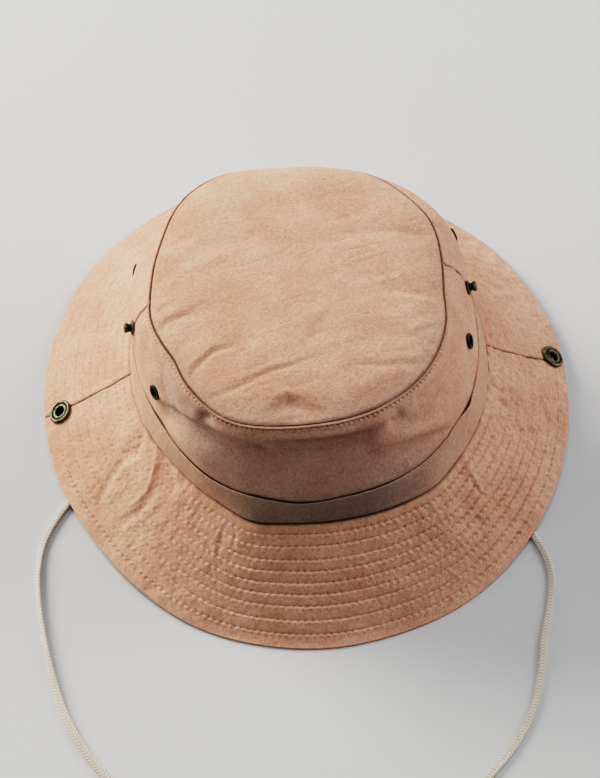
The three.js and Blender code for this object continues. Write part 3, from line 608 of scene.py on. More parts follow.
# How far the wall's edge turns in under the top, by distance down the wall.
TURNED_IN = np.array([(-0.12, 1.5), (0.0, 1.1), (0.52, 0.55), (0.55, 0.0)])
# The wall's turned-in edge is painted dark: painted shade in the seam's crevice.
TURNED_BELOW = 0.54  # the turned edge is dark down to here
WALL_SLOPE = 0.9  # millimetres of height in a millimetre of wall, near the top seam


def seam_angle(side, z):
    """Where a side seam of the crown runs: nearly upright, with a slow wander."""
    seam = SIDE_SEAMS[side]
    far, level, slow = seam["wander"]
    return seam["crown"] + far * np.sin((z - level) / slow) * smoothstep(z, *seam["from_z"])


def dimples(points, places, radius, deep):
    """Cloth drawn down round each piece of hardware."""
    return sum(-deep * bell(gap_to(points, p), radius) for p in places)


def wall_detail(angle, z, points):
    below = (SEAM_Z - z) / WALL_SLOPE
    height = np.interp(below, TOP_SEAM_SECTION[:, 0], TOP_SEAM_SECTION[:, 1])
    height = np.where(height < 0, height * (0.3 + 0.8 * from_table(SEAM_SHADE, angle)), height)
    height = height - np.interp(below, TURNED_IN[:, 0], TURNED_IN[:, 1])
    past = below - from_table(TOP_STITCH_BELOW, angle)
    height = height - TOP_GROOVE * bell(past, 0.32) + welt(past, 0.95, 0.75)
    calm = smoothstep(below, 2.5, 7)
    for path, *shape in WALL_CREASES:
        flat, x = unrolled(path, angle)
        height = height + crease_height([(flat, *shape)], x, z, WALL_CREASE_STRENGTH) * calm
    pulled = noise(angle * DEGREE_ARC / 3.4, z / 14.0, 3.1) * bell(below - 4.5, 4.0)
    height = height + WALL_PULL * pulled + crumple(points, *WALL_CRUMPLES) * calm
    places = [wall_place(*spot)[0] for spot in (*STUD_PLACES.values(), *EYELET_PLACES.values())]
    return height + dimples(points, places, *DIMPLES)


def brim_width(angle):
    inner, outer = brim_edges(angle)
    return np.linalg.norm(outer - inner, axis=-1)


def rib_height(angle, share):
    """Channels between the stitch rows: crests lie just outside each row, dips at the rows."""
    edges = np.array([0.0, *BRIM_ROWS, 1.06])
    channel = np.clip(np.searchsorted(edges, share, side="right") - 1, 0, len(edges) - 2)
    across = (share - edges[channel]) / (edges[channel + 1] - edges[channel])
    across = np.clip(across, 0, 1)
    puff = np.sin(math.pi * across**0.5)
    uneven = 1 + 0.35 * noise(angle / 3.2, channel * 7.3, 1.7)
    margin = np.where(channel == len(edges) - 2, 0.5, 1.0)
    return from_table(RIB_HEIGHTS, angle) * puff * uneven * margin


def scallops(angle, stitch_phase, row_offset):
    """The cloth swells between needle holes, beside each stitch row."""
    high = 0.65 * from_table(RIB_HEIGHTS, angle)
    beside = bell(row_offset - 0.8, 0.7)
    return high * beside * (0.5 - 0.5 * np.cos(2 * math.pi * stitch_phase))


def brim_detail(angle, share, points, stitch_phase, row_offset):
    strength = from_table(PUCKERS, angle)
    radial = noise(angle / 2.8, share * 7.5, 0.4) + 0.6 * noise(angle / 1.5, share * 15.0, 5.2)
    at_hole = 0.35 + 0.65 * np.cos(math.pi * stitch_phase) ** 2
    groove = 0.6 * from_table(RIB_HEIGHTS, angle) * bell(row_offset, 0.6) * at_hole
    height = rib_height(angle, share) + scallops(angle, stitch_phase, row_offset)
    fine = crumple(points, FINE_SIZE, FINE_HEIGHT * from_table(FINE_PUCKERS, angle))
    radial = 0.5 * radial + crumple(points, *BRIM_CRUMPLES)
    height = height - groove + fine + strength * radial
    height = height + crease_height(BRIM_CREASES, *xy(points), BRIM_CREASE_STRENGTH)
    foot = 0.25 + 0.45 * from_table(FOOT_SHADE, angle)
    height = height - foot * bell(share * brim_width(angle), CREASE_STEP)
    spots = [brim_place(*spot)[0] for spot in SNAP_PLACES.values()]
    calm = 1 - sum(bell(gap_to(points, p), SNAP_CALM) for p in spots)
    return height * calm


def snap_wells(points):
    """Depth of the flat-bottomed hole in the cloth under each snap socket."""
    return sum(WELL_DEPTH * (1 - smoothstep(gap_to(points, brim_place(*spot)[0]), *WELL_RADII))
               for spot in SNAP_PLACES.values())


def top_detail(angle, share, points):
    inside = (1 - share) * TOP_REACH
    roll = welt(inside, 1.6, 1.0) - from_table(SEAM_SHADE, angle) * bell(inside, 0.5)
    calm = smoothstep(inside, 1, 6)
    pulled = noise(angle * 1.25 / 3.6, inside / 12.0, 8.2) * bell(inside - 4, 5.0)
    creases = crease_height(TOP_CREASES, *xy(points), TOP_CREASE_STRENGTH)
    folded = creases + crumple(points, *TOP_CRUMPLES) + wrinkles(*xy(points))
    return roll + TOP_PULL * pulled + calm * folded


def wall_place(angle, z):
    return crown_surface(angle, float(z)), wall_normals(angle, float(z))


def brim_place(angle, share):
    return brim_surface(angle, share), brim_normals(angle, share)


# ------------------------------------------------------------------ meshes

def make_piece(name, points, faces, uvs, material, sharp=50, marks=None):
    """A mesh object from points in millimetres, arrays of faces with equal corner counts, for each
    UV map one array of coordinates for each array of faces, and marks: values for each point."""
    mesh = bpy.data.meshes.new(name)
    mesh.vertices.add(len(points))
    mesh.vertices.foreach_set("co", np.asarray(points * MM, np.float32).ravel())
    corners = np.concatenate([f.ravel() for f in faces])
    sizes = np.concatenate([np.full(len(f), f.shape[1]) for f in faces])
    mesh.loops.add(len(corners))
    mesh.loops.foreach_set("vertex_index", corners.astype(np.int32))
    mesh.polygons.add(len(sizes))
    starts = np.concatenate([[0], np.cumsum(sizes)[:-1]])
    mesh.polygons.foreach_set("loop_start", starts.astype(np.int32))
    mesh.update(calc_edges=True)
    for layer, parts in uvs.items():
        flat = np.concatenate([np.asarray(p, np.float32).reshape(-1, 2) for p in parts])
        mesh.uv_layers.new(name=layer).data.foreach_set("uv", flat.ravel())
    for mark, values in (marks or {}).items():
        layer = mesh.attributes.new(mark, "FLOAT", "POINT")
        layer.data.foreach_set("value", np.asarray(values, np.float32))
    mesh.shade_smooth()
    mesh.set_sharp_from_angle(angle=math.radians(sharp))
    mesh.materials.append(material)
    return put_in_scene(name, mesh)


def own(piece, slot, *nodes):
    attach(piece, "root")
    if nodes:
        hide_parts(*nodes)
    return piece


def quads(grid):
    """Corner values of each cell of a grid, in the order of a face seen from outside."""
    return np.stack([grid[:-1, :-1], grid[:-1, 1:], grid[1:, 1:], grid[1:, :-1]], 2)


def closed_wall(name, outer, inner, inner_rows, weave, material, ring=False, stitch=None,
                holes=None, middle=None, marks=None):
    """A closed cloth wall between an outer grid of points and an inner one.

    The inner grid has the outer grid's columns and only the rows listed in inner_rows. weave gives
    the cloth coordinates of the outer grid, with one more column than a ring's points. stitch
    gives the stitch coordinates of each outer cell's corners. holes marks cells that are left out
    of both grids, and middle closes a ring's last row with an outer and an inner point. marks are
    values for each point of the outer grid."""
    rows, columns = outer.shape[:2]
    spans = columns if ring else columns - 1
    index = np.arange(rows * columns).reshape(rows, columns)
    low = rows * columns + np.arange(inner.shape[0] * columns).reshape(-1, columns)
    if ring:
        index, low = ring_closed(index), ring_closed(low)
    low_weave = weave[inner_rows]
    keep = np.ones((rows - 1, spans), bool) if holes is None else ~holes
    low_keep = keep[inner_rows[:-1]]
    points = [outer.reshape(-1, 3), inner.reshape(-1, 3)]
    faces, cloth, sewn = [], [], []

    def add(corner_index, corner_weave, corner_stitch=None):
        size = corner_index.shape[-1]
        corner_index = corner_index.reshape(-1, size)
        faces.append(corner_index)
        cloth.append(corner_weave.reshape(-1, 2))
        if corner_stitch is None:
            corner_stitch = np.broadcast_to(NO_STITCH, (len(corner_index), size, 2))
        sewn.append(corner_stitch.reshape(-1, 2))

    add(quads(index)[keep], quads(weave)[keep], None if stitch is None else stitch[keep])
    add(quads(low)[low_keep][:, ::-1], quads(low_weave)[low_keep][:, ::-1])

    def strip(upper, lower, upper_weave):
        add(np.stack([lower[:-1], lower[1:], upper[1:], upper[:-1]], -1),
            np.stack([upper_weave[:-1], upper_weave[1:], upper_weave[1:], upper_weave[:-1]], 1))

    strip(index[0], low[0], weave[0])
    if middle is None:
        strip(low[-1], index[-1], weave[-1])
    else:
        centre = rows * columns + inner.shape[0] * columns
        points.append(np.array(middle))
        spot = np.broadcast_to(weave[-1].mean(0), (spans, 2))
        ends = [(index[-1], centre, 1), (low[-1], centre + 1, -1)]
        for row, at, order in ends:
            fan = np.stack([row[:-1], row[1:], np.full(spans, at)], -1)[:, ::order]
            add(fan, np.stack([weave[-1][:-1], weave[-1][1:], spot], 1)[:, ::order])
    if not ring:
        for column, order in ((0, 1), (columns - 1, -1)):
            for i, (a, b) in enumerate(zip(inner_rows[:-1], inner_rows[1:])):
                loop = [low[i, column], *index[a:b + 1, column], low[i + 1, column]][::order]
                cap = [low_weave[i, column], *weave[a:b + 1, column], low_weave[i + 1, column]]
                add(np.array([loop]), np.array(cap[::order]))
    if holes is not None:
        for r, c in zip(*np.nonzero(holes)):
            around = [((r, c), (r, c + 1), (r - 1, c)), ((r, c + 1), (r + 1, c + 1), (r, c + 1)),
                      ((r + 1, c + 1), (r + 1, c), (r + 1, c)), ((r + 1, c), (r, c), (r, c - 1))]
            for p, q, cell in around:
                if not holes[cell]:
                    add(np.array([[index[q], index[p], low[p], low[q]]]),
                        np.array([weave[q], weave[p], weave[p], weave[q]]))
    by_size = {}
    for f, w, s in zip(faces, cloth, sewn):
        for store, part in zip(by_size.setdefault(f.shape[1], ([], [], [])), (f, w, s)):
            store.append(part)
    joined = [[np.concatenate(part) for part in store] for store in by_size.values()]
    faces, cloth, sewn = zip(*joined)
    points = np.concatenate(points)
    plain = np.zeros(len(points) - rows * columns)
    marks = {mark: np.concatenate([np.broadcast_to(values, (rows, columns)).ravel(), plain])
             for mark, values in (marks or {}).items()}
    uvs = {"weave": cloth, "stitch": sewn}
    return make_piece(name, points, faces, uvs, material, marks=marks)


def tube_mesh(name, rings, uv_along, uv_round, material, sharp=60):
    """Closed tubes from rings of points, shaped (tubes, rings, sides, 3)."""
    count, length, sides = rings.shape[:3]
    ids = ring_closed(np.arange(count * length * sides).reshape(count, length, sides), 2)
    body = np.stack([ids[:, :-1, :-1], ids[:, :-1, 1:], ids[:, 1:, 1:], ids[:, 1:, :-1]], -1)
    along = np.broadcast_to(uv_along[..., None], (count, length, sides + 1))
    across = np.broadcast_to(uv_round, (count, length, sides + 1))
    uv = np.stack([along, across], -1)
    body_uv = np.stack([uv[:, :-1, :-1], uv[:, :-1, 1:], uv[:, 1:, 1:], uv[:, 1:, :-1]], 3)
    ends = np.concatenate([ids[:, 0, :-1][:, ::-1], ids[:, -1, :-1]])
    ends_uv = np.concatenate([uv[:, 0, :-1][:, ::-1], uv[:, -1, :-1]])
    return make_piece(name, rings.reshape(-1, 3), [body.reshape(-1, 4), ends],
                      {"weave": [body_uv, ends_uv]}, material, sharp)


def rolled_edge(start, end, outward, turns):
    """Rows of points that close a cloth edge with a round, at turns in degrees from start."""
    middle, half = (start + end) / 2, (start - end) / 2
    return [middle + half * math.cos(t) + outward * math.sin(t) for t in np.radians(turns)]


def refined_steps(count, length):
    """Shares from 0 to 1 in even steps, with extra ones close to both ends."""
    close = np.array([0.0, 0.12, 0.28, 0.5, 0.8, 1.2]) / length
    even = np.linspace(close[-1], 1 - close[-1], count)[1:-1]
    return np.concatenate([close, even, 1 - close[::-1]])


# ------------------------------------------------------------------ materials

class Nodes:
    """Short names for the nodes of one material."""

    def __init__(self, name):
        self.material = bpy.data.materials.new(name)
        self.material.use_nodes = True
        self.tree = self.material.node_tree
        self.shader = self.tree.nodes["Principled BSDF"]

    def put(self, value, socket):
        if isinstance(value, bpy.types.NodeSocket):
            self.tree.links.new(value, socket)
        else:
            socket.default_value = value

    def node(self, kind, output=0, inputs=None, **settings):
        made = self.tree.nodes.new(kind)
        for key, value in settings.items():
            setattr(made, key, value)
        for key, value in (inputs or {}).items():
            self.put(value, made.inputs[key])
        return made.outputs[output]

    def math(self, operation, a, b=0.0, c=0.0, clamp=False):
        return self.node("ShaderNodeMath", inputs={0: a, 1: b, 2: c}, operation=operation,
                         use_clamp=clamp)

    def plus(self, a, b):
        return self.math("ADD", a, b)

    def minus(self, a, b):
        return self.math("SUBTRACT", a, b)

    def times(self, a, b, clamp=False):
        return self.math("MULTIPLY", a, b, clamp=clamp)

    def times_plus(self, a, b, c):
        return self.math("MULTIPLY_ADD", a, b, c)

    def off(self, a):
        return self.math("ABSOLUTE", a)

    def mark(self, name):
        """The values that make_piece left on the mesh's points."""
        return self.node("ShaderNodeAttribute", output="Fac", attribute_name=name)

    def finish(self, sockets):
        """Sets sockets of the shader by name, and returns the material."""
        for name, value in sockets.items():
            self.put(value, self.shader.inputs[name])
        return self.material

    def uv(self, layer):
        split = self.tree.nodes.new("ShaderNodeSeparateXYZ")
        self.put(self.node("ShaderNodeUVMap", uv_map=layer), split.inputs[0])
        return split.outputs[0], split.outputs[1]

    def vector(self, x, y, z=0.0):
        return self.node("ShaderNodeCombineXYZ", inputs={0: x, 1: y, 2: z})

    def place(self):
        return self.node("ShaderNodeTexCoord", output="Object")

    def noise(self, vector, scale, detail=2.0, rough=0.5):
        return self.node("ShaderNodeTexNoise", inputs={
            "Vector": vector, "Scale": scale, "Detail": detail, "Roughness": rough})

    def ramp(self, value, low, high, out_low=0.0, out_high=1.0):
        return self.node("ShaderNodeMapRange", inputs={
            0: value, 1: low, 2: high, 3: out_low, 4: out_high}, interpolation_type="SMOOTHSTEP")

    def mix(self, share, a, b, blend="MIX"):
        made = self.tree.nodes.new("ShaderNodeMix")
        made.data_type, made.blend_type = "RGBA", blend
        for value, socket in ((share, made.inputs[0]), (a, made.inputs[6]), (b, made.inputs[7])):
            self.put(value, socket)
        return made.outputs[2]

    def bump(self, height, distance, strength=1.0, normal=None):
        inputs = {"Height": height, "Distance": distance, "Strength": strength}
        if normal is not None:
            inputs["Normal"] = normal
        return self.node("ShaderNodeBump", inputs=inputs)


def tint(code):
    """Linear colour from a hex code."""
    parts = [int(code[i:i + 2], 16) / 255 for i in (1, 3, 5)]
    return (*[p / 12.92 if p <= 0.04045 else ((p + 0.055) / 1.055) ** 2.4 for p in parts], 1.0)


YARN_PITCH = 0.42


def plain_weave(n, u, v, pitch):
    """Height of a plain weave, and which yarn is on top."""
    across = n.math("SINE", n.times(u, math.pi / pitch))
    along = n.math("SINE", n.times(v, math.pi / pitch))
    product = n.times(across, along)
    height = n.math("POWER", n.off(product), 0.45)
    return height, n.math("GREATER_THAN", product, 0.0)


def cloth_material(name, pale, deep):
    """Plain-woven cotton with uneven yarns, soft mottling and needle holes along its stitches."""
    n = Nodes(name)
    u, v = n.uv("weave")
    place = n.place()
    wobble = n.times(n.minus(n.noise(place, 260.0), 0.5), 0.25)
    u, v = n.plus(u, wobble), n.plus(v, wobble)
    weave, warp_on_top = plain_weave(n, u, v, YARN_PITCH)
    warp_slub = n.noise(n.vector(n.times(u, 2.2), n.times(v, 0.09)), 1.0, 3.0)
    weft_slub = n.noise(n.vector(n.times(u, 0.09), n.times(v, 2.2), 4.0), 1.0, 3.0)
    slub = n.plus(warp_slub, weft_slub)
    mottle = n.noise(place, 38.0, 4.0, 0.6)
    grain = n.noise(place, 1300.0, 3.0, 0.7)
    colour = n.mix(n.ramp(mottle, 0.3, 0.7), pale, deep)
    colour = n.mix(n.ramp(slub, 0.75, 1.25, 0.0, 0.07), colour, deep, "MULTIPLY")
    flecks = n.noise(place, 620.0, 2.0, 0.6)
    # The weave's yarn crests are painted lighter than the gaps between them: painted shade; the
    # grain and flecks are the cloth's own uneven tone.
    shade = n.times_plus(n.minus(grain, 0.5), 0.8, 0.97)
    shade = n.times_plus(n.minus(flecks, 0.5), 0.62, shade)
    shade = n.times_plus(warp_on_top, 0.035, shade)
    shade = n.times_plus(weave, 0.07, n.minus(shade, 0.05))
    colour = n.mix(1.0, colour, n.vector(shade, shade, shade), "MULTIPLY")
    phase, offset = n.uv("stitch")
    near = n.minus(n.math("FRACT", n.plus(phase, 0.5)), 0.5)
    near = n.times(near, BRIM_PITCH)
    away = n.math("SQRT", n.plus(n.math("POWER", near, 2.0), n.math("POWER", offset, 2.0)))
    plain = n.mark("hole")
    patchy = n.ramp(n.noise(place, 95.0, 2.0), 0.36, 0.62, 0.35, 1.0)
    hole = n.times(n.ramp(away, 0.16, 0.5, 1.0, 0.0), n.times(plain, patchy))
    # The stitch rows and the needle holes are painted darker: painted shade in the rows' grooves
    # and in the holes.
    line = n.ramp(n.off(offset), 0.1, 0.55, 1.0, 0.0)
    colour = n.mix(n.times(n.times(line, plain), 0.1), colour, tint("#6b4a36"))
    colour = n.mix(n.times(hole, 0.85, clamp=True), colour, tint("#3c271b"))
    # Painted shade, near black, in the seams, in the gap behind the band's edge, on the wall's
    # turned-in edge and in the creases at the band's foot.
    painted_crease_shade = n.mark("painted_crease_shade")
    colour = n.mix(n.times(painted_crease_shade, 0.9, clamp=True), colour, tint("#2a1a11"))
    # Painted shade over the parts that face away from the light, tinted cooler.
    painted_shade = n.mark("shade")
    colour = n.mix(painted_shade, colour, (0.5, 0.61, 0.72, 1.0), "MULTIPLY")
    roughness = n.ramp(grain, 0.3, 0.7, 0.81, 0.94)
    soft = n.bump(n.noise(place, 170.0, 3.0, 0.55), 0.35 * MM, 0.8)
    rough = n.bump(n.plus(grain, flecks), 0.42 * MM, 0.8, soft)
    fine = n.bump(n.times_plus(slub, 0.3, weave), 0.07 * MM, 0.8, rough)
    swell = n.times_plus(n.math("COSINE", n.times(phase, 2 * math.pi)), -0.5, 0.5)
    beside = n.ramp(n.off(n.minus(offset, 0.7)), 0.1, 1.0, 1.0, 0.0)
    scallop = n.times(n.times(swell, beside), plain)
    height = n.minus(scallop, n.times(hole, 0.7))
    return n.finish({
        "Base Color": colour, "Roughness": roughness, "Sheen Weight": 0.12,
        "Sheen Roughness": 0.5, "Specular IOR Level": 0.25,
        "Normal": n.bump(height, 0.3 * MM, 1.0, fine)})


def thread_material(name, pale, deep):
    """Two-ply sewing thread: the plies wind round each other."""
    n = Nodes(name)
    u, v = n.uv("weave")
    wind = n.math("SINE", n.plus(n.times(u, 11.0), n.times(v, 2 * math.pi)))
    # The plies' grooves are painted darker: painted shade; the fuzz is the thread's own uneven
    # tone.
    colour = n.mix(n.ramp(wind, -1.0, 0.2), deep, pale)
    fuzz = n.noise(n.place(), 2600.0, 2.0)
    return n.finish({
        "Base Color": n.mix(n.times(fuzz, 0.3), colour, deep), "Roughness": 0.7,
        "Sheen Weight": 0.15, "Normal": n.bump(wind, 0.05 * MM, 0.8)})


def cord_material():
    """Cream cotton braid; fine filaments run along each strand."""
    n = Nodes("cord_braid")
    u, v = n.uv("weave")
    place = n.place()
    strand = n.math("SINE", n.times(n.plus(u, n.times(v, 3.0)), 21.0))
    fuzz = n.noise(place, 1900.0, 3.0, 0.6)
    stain = n.noise(place, 45.0, 3.0)
    colour = n.mix(n.ramp(stain, 0.3, 0.7), tint("#fff5e6"), tint("#f6e8d4"))
    # Darker between the filaments: painted shade, with the fuzz as the cord's own uneven tone.
    colour = n.mix(n.ramp(n.plus(strand, fuzz), 0.2, 1.6, 0.2, 0.0), colour, tint("#b3977a"))
    # The braid's chevron grooves are painted brown: painted shade.
    chevron = n.times_plus(u, math.pi / BRAID_PITCH, n.times(v, 0.75 * math.pi))
    groove = n.ramp(n.off(n.math("COSINE", chevron)), 0.0, 0.6, 0.85, 0.0)
    return n.finish({
        "Base Color": n.mix(groove, colour, tint("#a07c58")),
        "Roughness": n.ramp(fuzz, 0.2, 0.8, 0.78, 0.95), "Sheen Weight": 0.2,
        "Normal": n.bump(n.plus(strand, fuzz), 0.06 * MM, 0.8)})


def brass_material():
    """Darkened brass, rubbed paler on its raised edges, with fine scratches; its hollows and the
    insides of its holes are painted near black as painted shade.
    """
    n = Nodes("dark_brass")
    place = n.place()
    wear_and_painted_shade = n.mark("wear_and_painted_shade")
    blotch = n.noise(place, 420.0, 4.0, 0.6)
    scratch = n.noise(n.node("ShaderNodeMapping", inputs={
        "Vector": place, "Scale": (900.0, 5200.0, 900.0)}), 1.0, 2.0)
    rubbed = n.times(wear_and_painted_shade, n.ramp(blotch, 0.3, 0.62), clamp=True)
    dark = n.mix(n.ramp(blotch, 0.35, 0.7), tint("#2e281e"), tint("#4b4332"))
    colour = n.mix(rubbed, dark, tint("#7b745f"))
    return n.finish({
        # Below 0 the wear mark paints the hollows and the insides of holes near black: painted
        # shade.
        "Base Color": n.mix(n.times(wear_and_painted_shade, -1.0, clamp=True), colour, tint("#060505")),
        "Metallic": 0.7, "Roughness": n.ramp(blotch, 0.25, 0.75, 0.36, 0.56),
        "Normal": n.bump(n.plus(scratch, blotch), 0.04 * MM, 0.5)})


def floor_material():
    """Pale matt studio floor."""
    n = Nodes("studio_floor")
    cloud = n.noise(n.place(), 3.0, 3.0)
    return n.finish({"Base Color": n.mix(cloud, tint("#d3d1ce"), tint("#ceccca")),
                     "Roughness": 0.75, "Specular IOR Level": 0.2})


# ------------------------------------------------------------------ camera and cord

CAMERA_AZIMUTH, CAMERA_ELEVATION = -6.1, 54.25
CAMERA_PLACE = (-75.75, -680.36, 957.65)
CAMERA_LENS = 107.3


def make_camera():
    data = bpy.data.cameras.new("camera")
    data.lens, data.sensor_width = CAMERA_LENS, 36.0
    camera = put_in_scene("camera", data)
    a, e = math.radians(CAMERA_AZIMUTH), math.radians(CAMERA_ELEVATION)
    back = Vector((math.sin(a) * math.cos(e), -math.cos(a) * math.cos(e), math.sin(e)))
    right = Vector((math.cos(a), math.sin(a), 0))
    up = back.cross(right)
    camera.matrix_world = Matrix.Translation(Vector(CAMERA_PLACE) * MM) @ Matrix(
        (right, up, back)).transposed().to_4x4()
    bpy.context.scene.camera = camera


CORD_STEP, CORD_SIDES = 0.3, 20
BRAID_PITCH, BRAID_DEPTH = 1.7, 0.2
CORD_CLEAR = 0.1  # the lowest thread lies this far above the floor
# Along the cord: millimetres from its left end, width, thickness and twist in degrees.
CORD_SHAPE = [
    (0, 3.6, 1.9, 0), (40, 3.4, 1.9, 0), (80, 2.6, 1.9, 0), (108, 2.6, 1.9, 10),
    (128, 3.4, 1.7, 66), (165, 3.6, 1.7, 72), (195, 3.7, 1.8, 30), (225, 3.8, 1.8, 4),
    (300, 3.9, 1.8, 0), (400, 3.9, 1.8, -14), (470, 3.8, 1.8, 0), (530, 3.7, 1.8, 6),
    (575, 3.5, 1.8, -24), (600, 3.0, 1.8, -8), (620, 2.5, 1.8, 0), (665, 3.4, 1.9, 0),
    (705, 3.6, 1.9, 0),
]


def cord_centreline():
    """The route as a centripetal curve, in even steps."""
    p = np.array(CORD_ROUTE, float)
    p = np.concatenate([[2 * p[0] - p[1]], p, [2 * p[-1] - p[-2]]])
    gaps = np.sqrt(np.linalg.norm(np.diff(p, axis=0), axis=1))
    t = np.linspace(0, 1, 40, endpoint=False)[:, None]
    pieces = []
    for i in range(1, len(p) - 2):
        d0, d1, d2 = gaps[i - 1:i + 2]
        a, b, c, d = p[i - 1:i + 3]
        start = ((b - a) / d0 - (c - a) / (d0 + d1) + (c - b) / d1) * d1
        end = ((c - b) / d1 - (d - b) / (d1 + d2) + (d - c) / d2) * d1
        pieces.append(b + start * t + (3 * (c - b) - 2 * start - end) * t**2
                      + (2 * (b - c) + start + end) * t**3)
    line = np.concatenate([*pieces, p[-2:-1]])
    run = run_of(line)
    even = np.linspace(0, run[-1], int(run[-1] / CORD_STEP))
    return even, points_at(even, run, line)


def carried_normals(tangents):
    """Normals carried along a curve, upright at its middle."""
    normals = np.zeros_like(tangents)
    middle = len(tangents) // 2
    for order in (range(middle, len(tangents)), range(middle, -1, -1)):
        normal = np.array([0.0, 0.0, 1.0])
        for i in order:
            normal = normal - tangents[i] * (normal @ tangents[i])
            normal = normal / np.linalg.norm(normal)
            normals[i] = normal
    return normals


def make_cord(material):
    run, line = cord_centreline()
    table = np.array(CORD_SHAPE, float)
    soft = np.ones(61) / 61
    shape = [np.interp(run, table[:, 0], table[:, k]) for k in (1, 2, 3)]
    width, thick, twist = (np.convolve(np.pad(s, 30, mode="edge"), soft, "valid") for s in shape)
    twist = np.radians(twist)
    reach = np.sqrt((width / 2 * np.sin(twist)) ** 2 + (thick / 2 * np.cos(twist)) ** 2)
    lying = 1 - smoothstep(line[:, 2], CORD_LIFT + 0.5, CORD_LIFT + 8)
    line[:, 2] -= lying * (CORD_LIFT - reach - 0.4 * BRAID_DEPTH - CORD_CLEAR)
    tangents = unit(np.gradient(line, axis=0))
    up = carried_normals(tangents)
    side = np.cross(up, tangents)
    turned_side = side * np.cos(twist)[:, None] + up * np.sin(twist)[:, None]
    turned_up = up * np.cos(twist)[:, None] - side * np.sin(twist)[:, None]
    a = circle(CORD_SIDES)
    across, height = signed_power(np.cos(a), 0.85), signed_power(np.sin(a), 0.75)
    chevron = run[:, None] / BRAID_PITCH + 0.75 * np.abs(across) + 0.5 * (height < 0)
    ridge = BRAID_DEPTH * (np.abs(np.cos(math.pi * chevron)) ** 0.7 - 0.6)
    groove = 0.2 * bell(across, 0.14) * np.abs(height)
    grow = ridge - groove
    rings = (line[:, None]
             + turned_side[:, None] * ((width[:, None] / 2 + 0.6 * grow) * across)[..., None]
             + turned_up[:, None] * ((thick[:, None] / 2 + grow) * height)[..., None])
    round_it = np.abs(np.append(across, across[0]))
    cord = tube_mesh("cord_braid", rings[None], run[None], round_it, material)
    own(cord, "cord", "chin_cord")


# ------------------------------------------------------------------ cloth pieces

TOP_COLUMNS = 380
TOP_SHARES = np.concatenate([
    np.linspace(1, 1 - 1.2 / TOP_REACH, 8), np.linspace(1 - 1.7 / TOP_REACH, 0.9, 13),
    np.linspace(0.89, 0.06, 84), [0.03]])


def make_top(material):
    angle = np.arange(TOP_COLUMNS) * 360.0 / TOP_COLUMNS
    a, share = np.meshgrid(angle, TOP_SHARES)
    base = top_surface(a, share)
    normal = top_normals(a, share)
    outer = base + normal * top_detail(a, share, base)[..., None]
    inside = (1 - share) * TOP_REACH
    thick = lerp(THIN_EDGE, WALL_CLOTH, smoothstep(inside, 0.2, 2.5))
    inner = outer - normal * thick[..., None]
    rows = np.unique(np.append(np.arange(0, len(TOP_SHARES), 2), len(TOP_SHARES) - 1))
    centre = outer[-1].mean(0)
    weave = ring_closed(outer)[..., :2]
    # Painted shade along the top seam, and over the top near its seam, most at the front.
    marks = {"painted_crease_shade": TOP_DARK * from_table(SEAM_SHADE, a) * bell(inside, 0.6),
             "shade": from_table(EDGE_SHADE, a) * bell(inside, EDGE_SHADE_WIDTH)}
    piece = closed_wall("crown_top_cloth", outer, inner[rows], rows, weave, material, ring=True,
                        middle=[centre, centre - (0, 0, WALL_CLOTH)], marks=marks)
    own(piece, "cotton", "crown_top")


WALL_COLUMNS = 296


def wall_heights():
    """Heights of the wall's rows of points, from its foot up: dense near the top seam."""
    near = [*TURNED_IN[:, 0], 0.63, 0.72, 0.82, 0.95, 1.1, 1.3, 1.5, 1.75, 1.95, 2.15, 2.4, 2.65,
            2.9, 3.1, 3.35, 3.7, 4.1, 4.6, 5.2]
    far = np.linspace(5.9, (SEAM_Z - WALL_LOW) / WALL_SLOPE, 70)
    return (SEAM_Z - np.concatenate([near, far]) * WALL_SLOPE)[::-1]


def hole_cells(points, centres, radius):
    """Cells of a grid whose middle lies within a radius of any centre."""
    middle = quads(points).mean(2)
    return np.any([gap_to(middle, c) < radius for c in centres], axis=0)


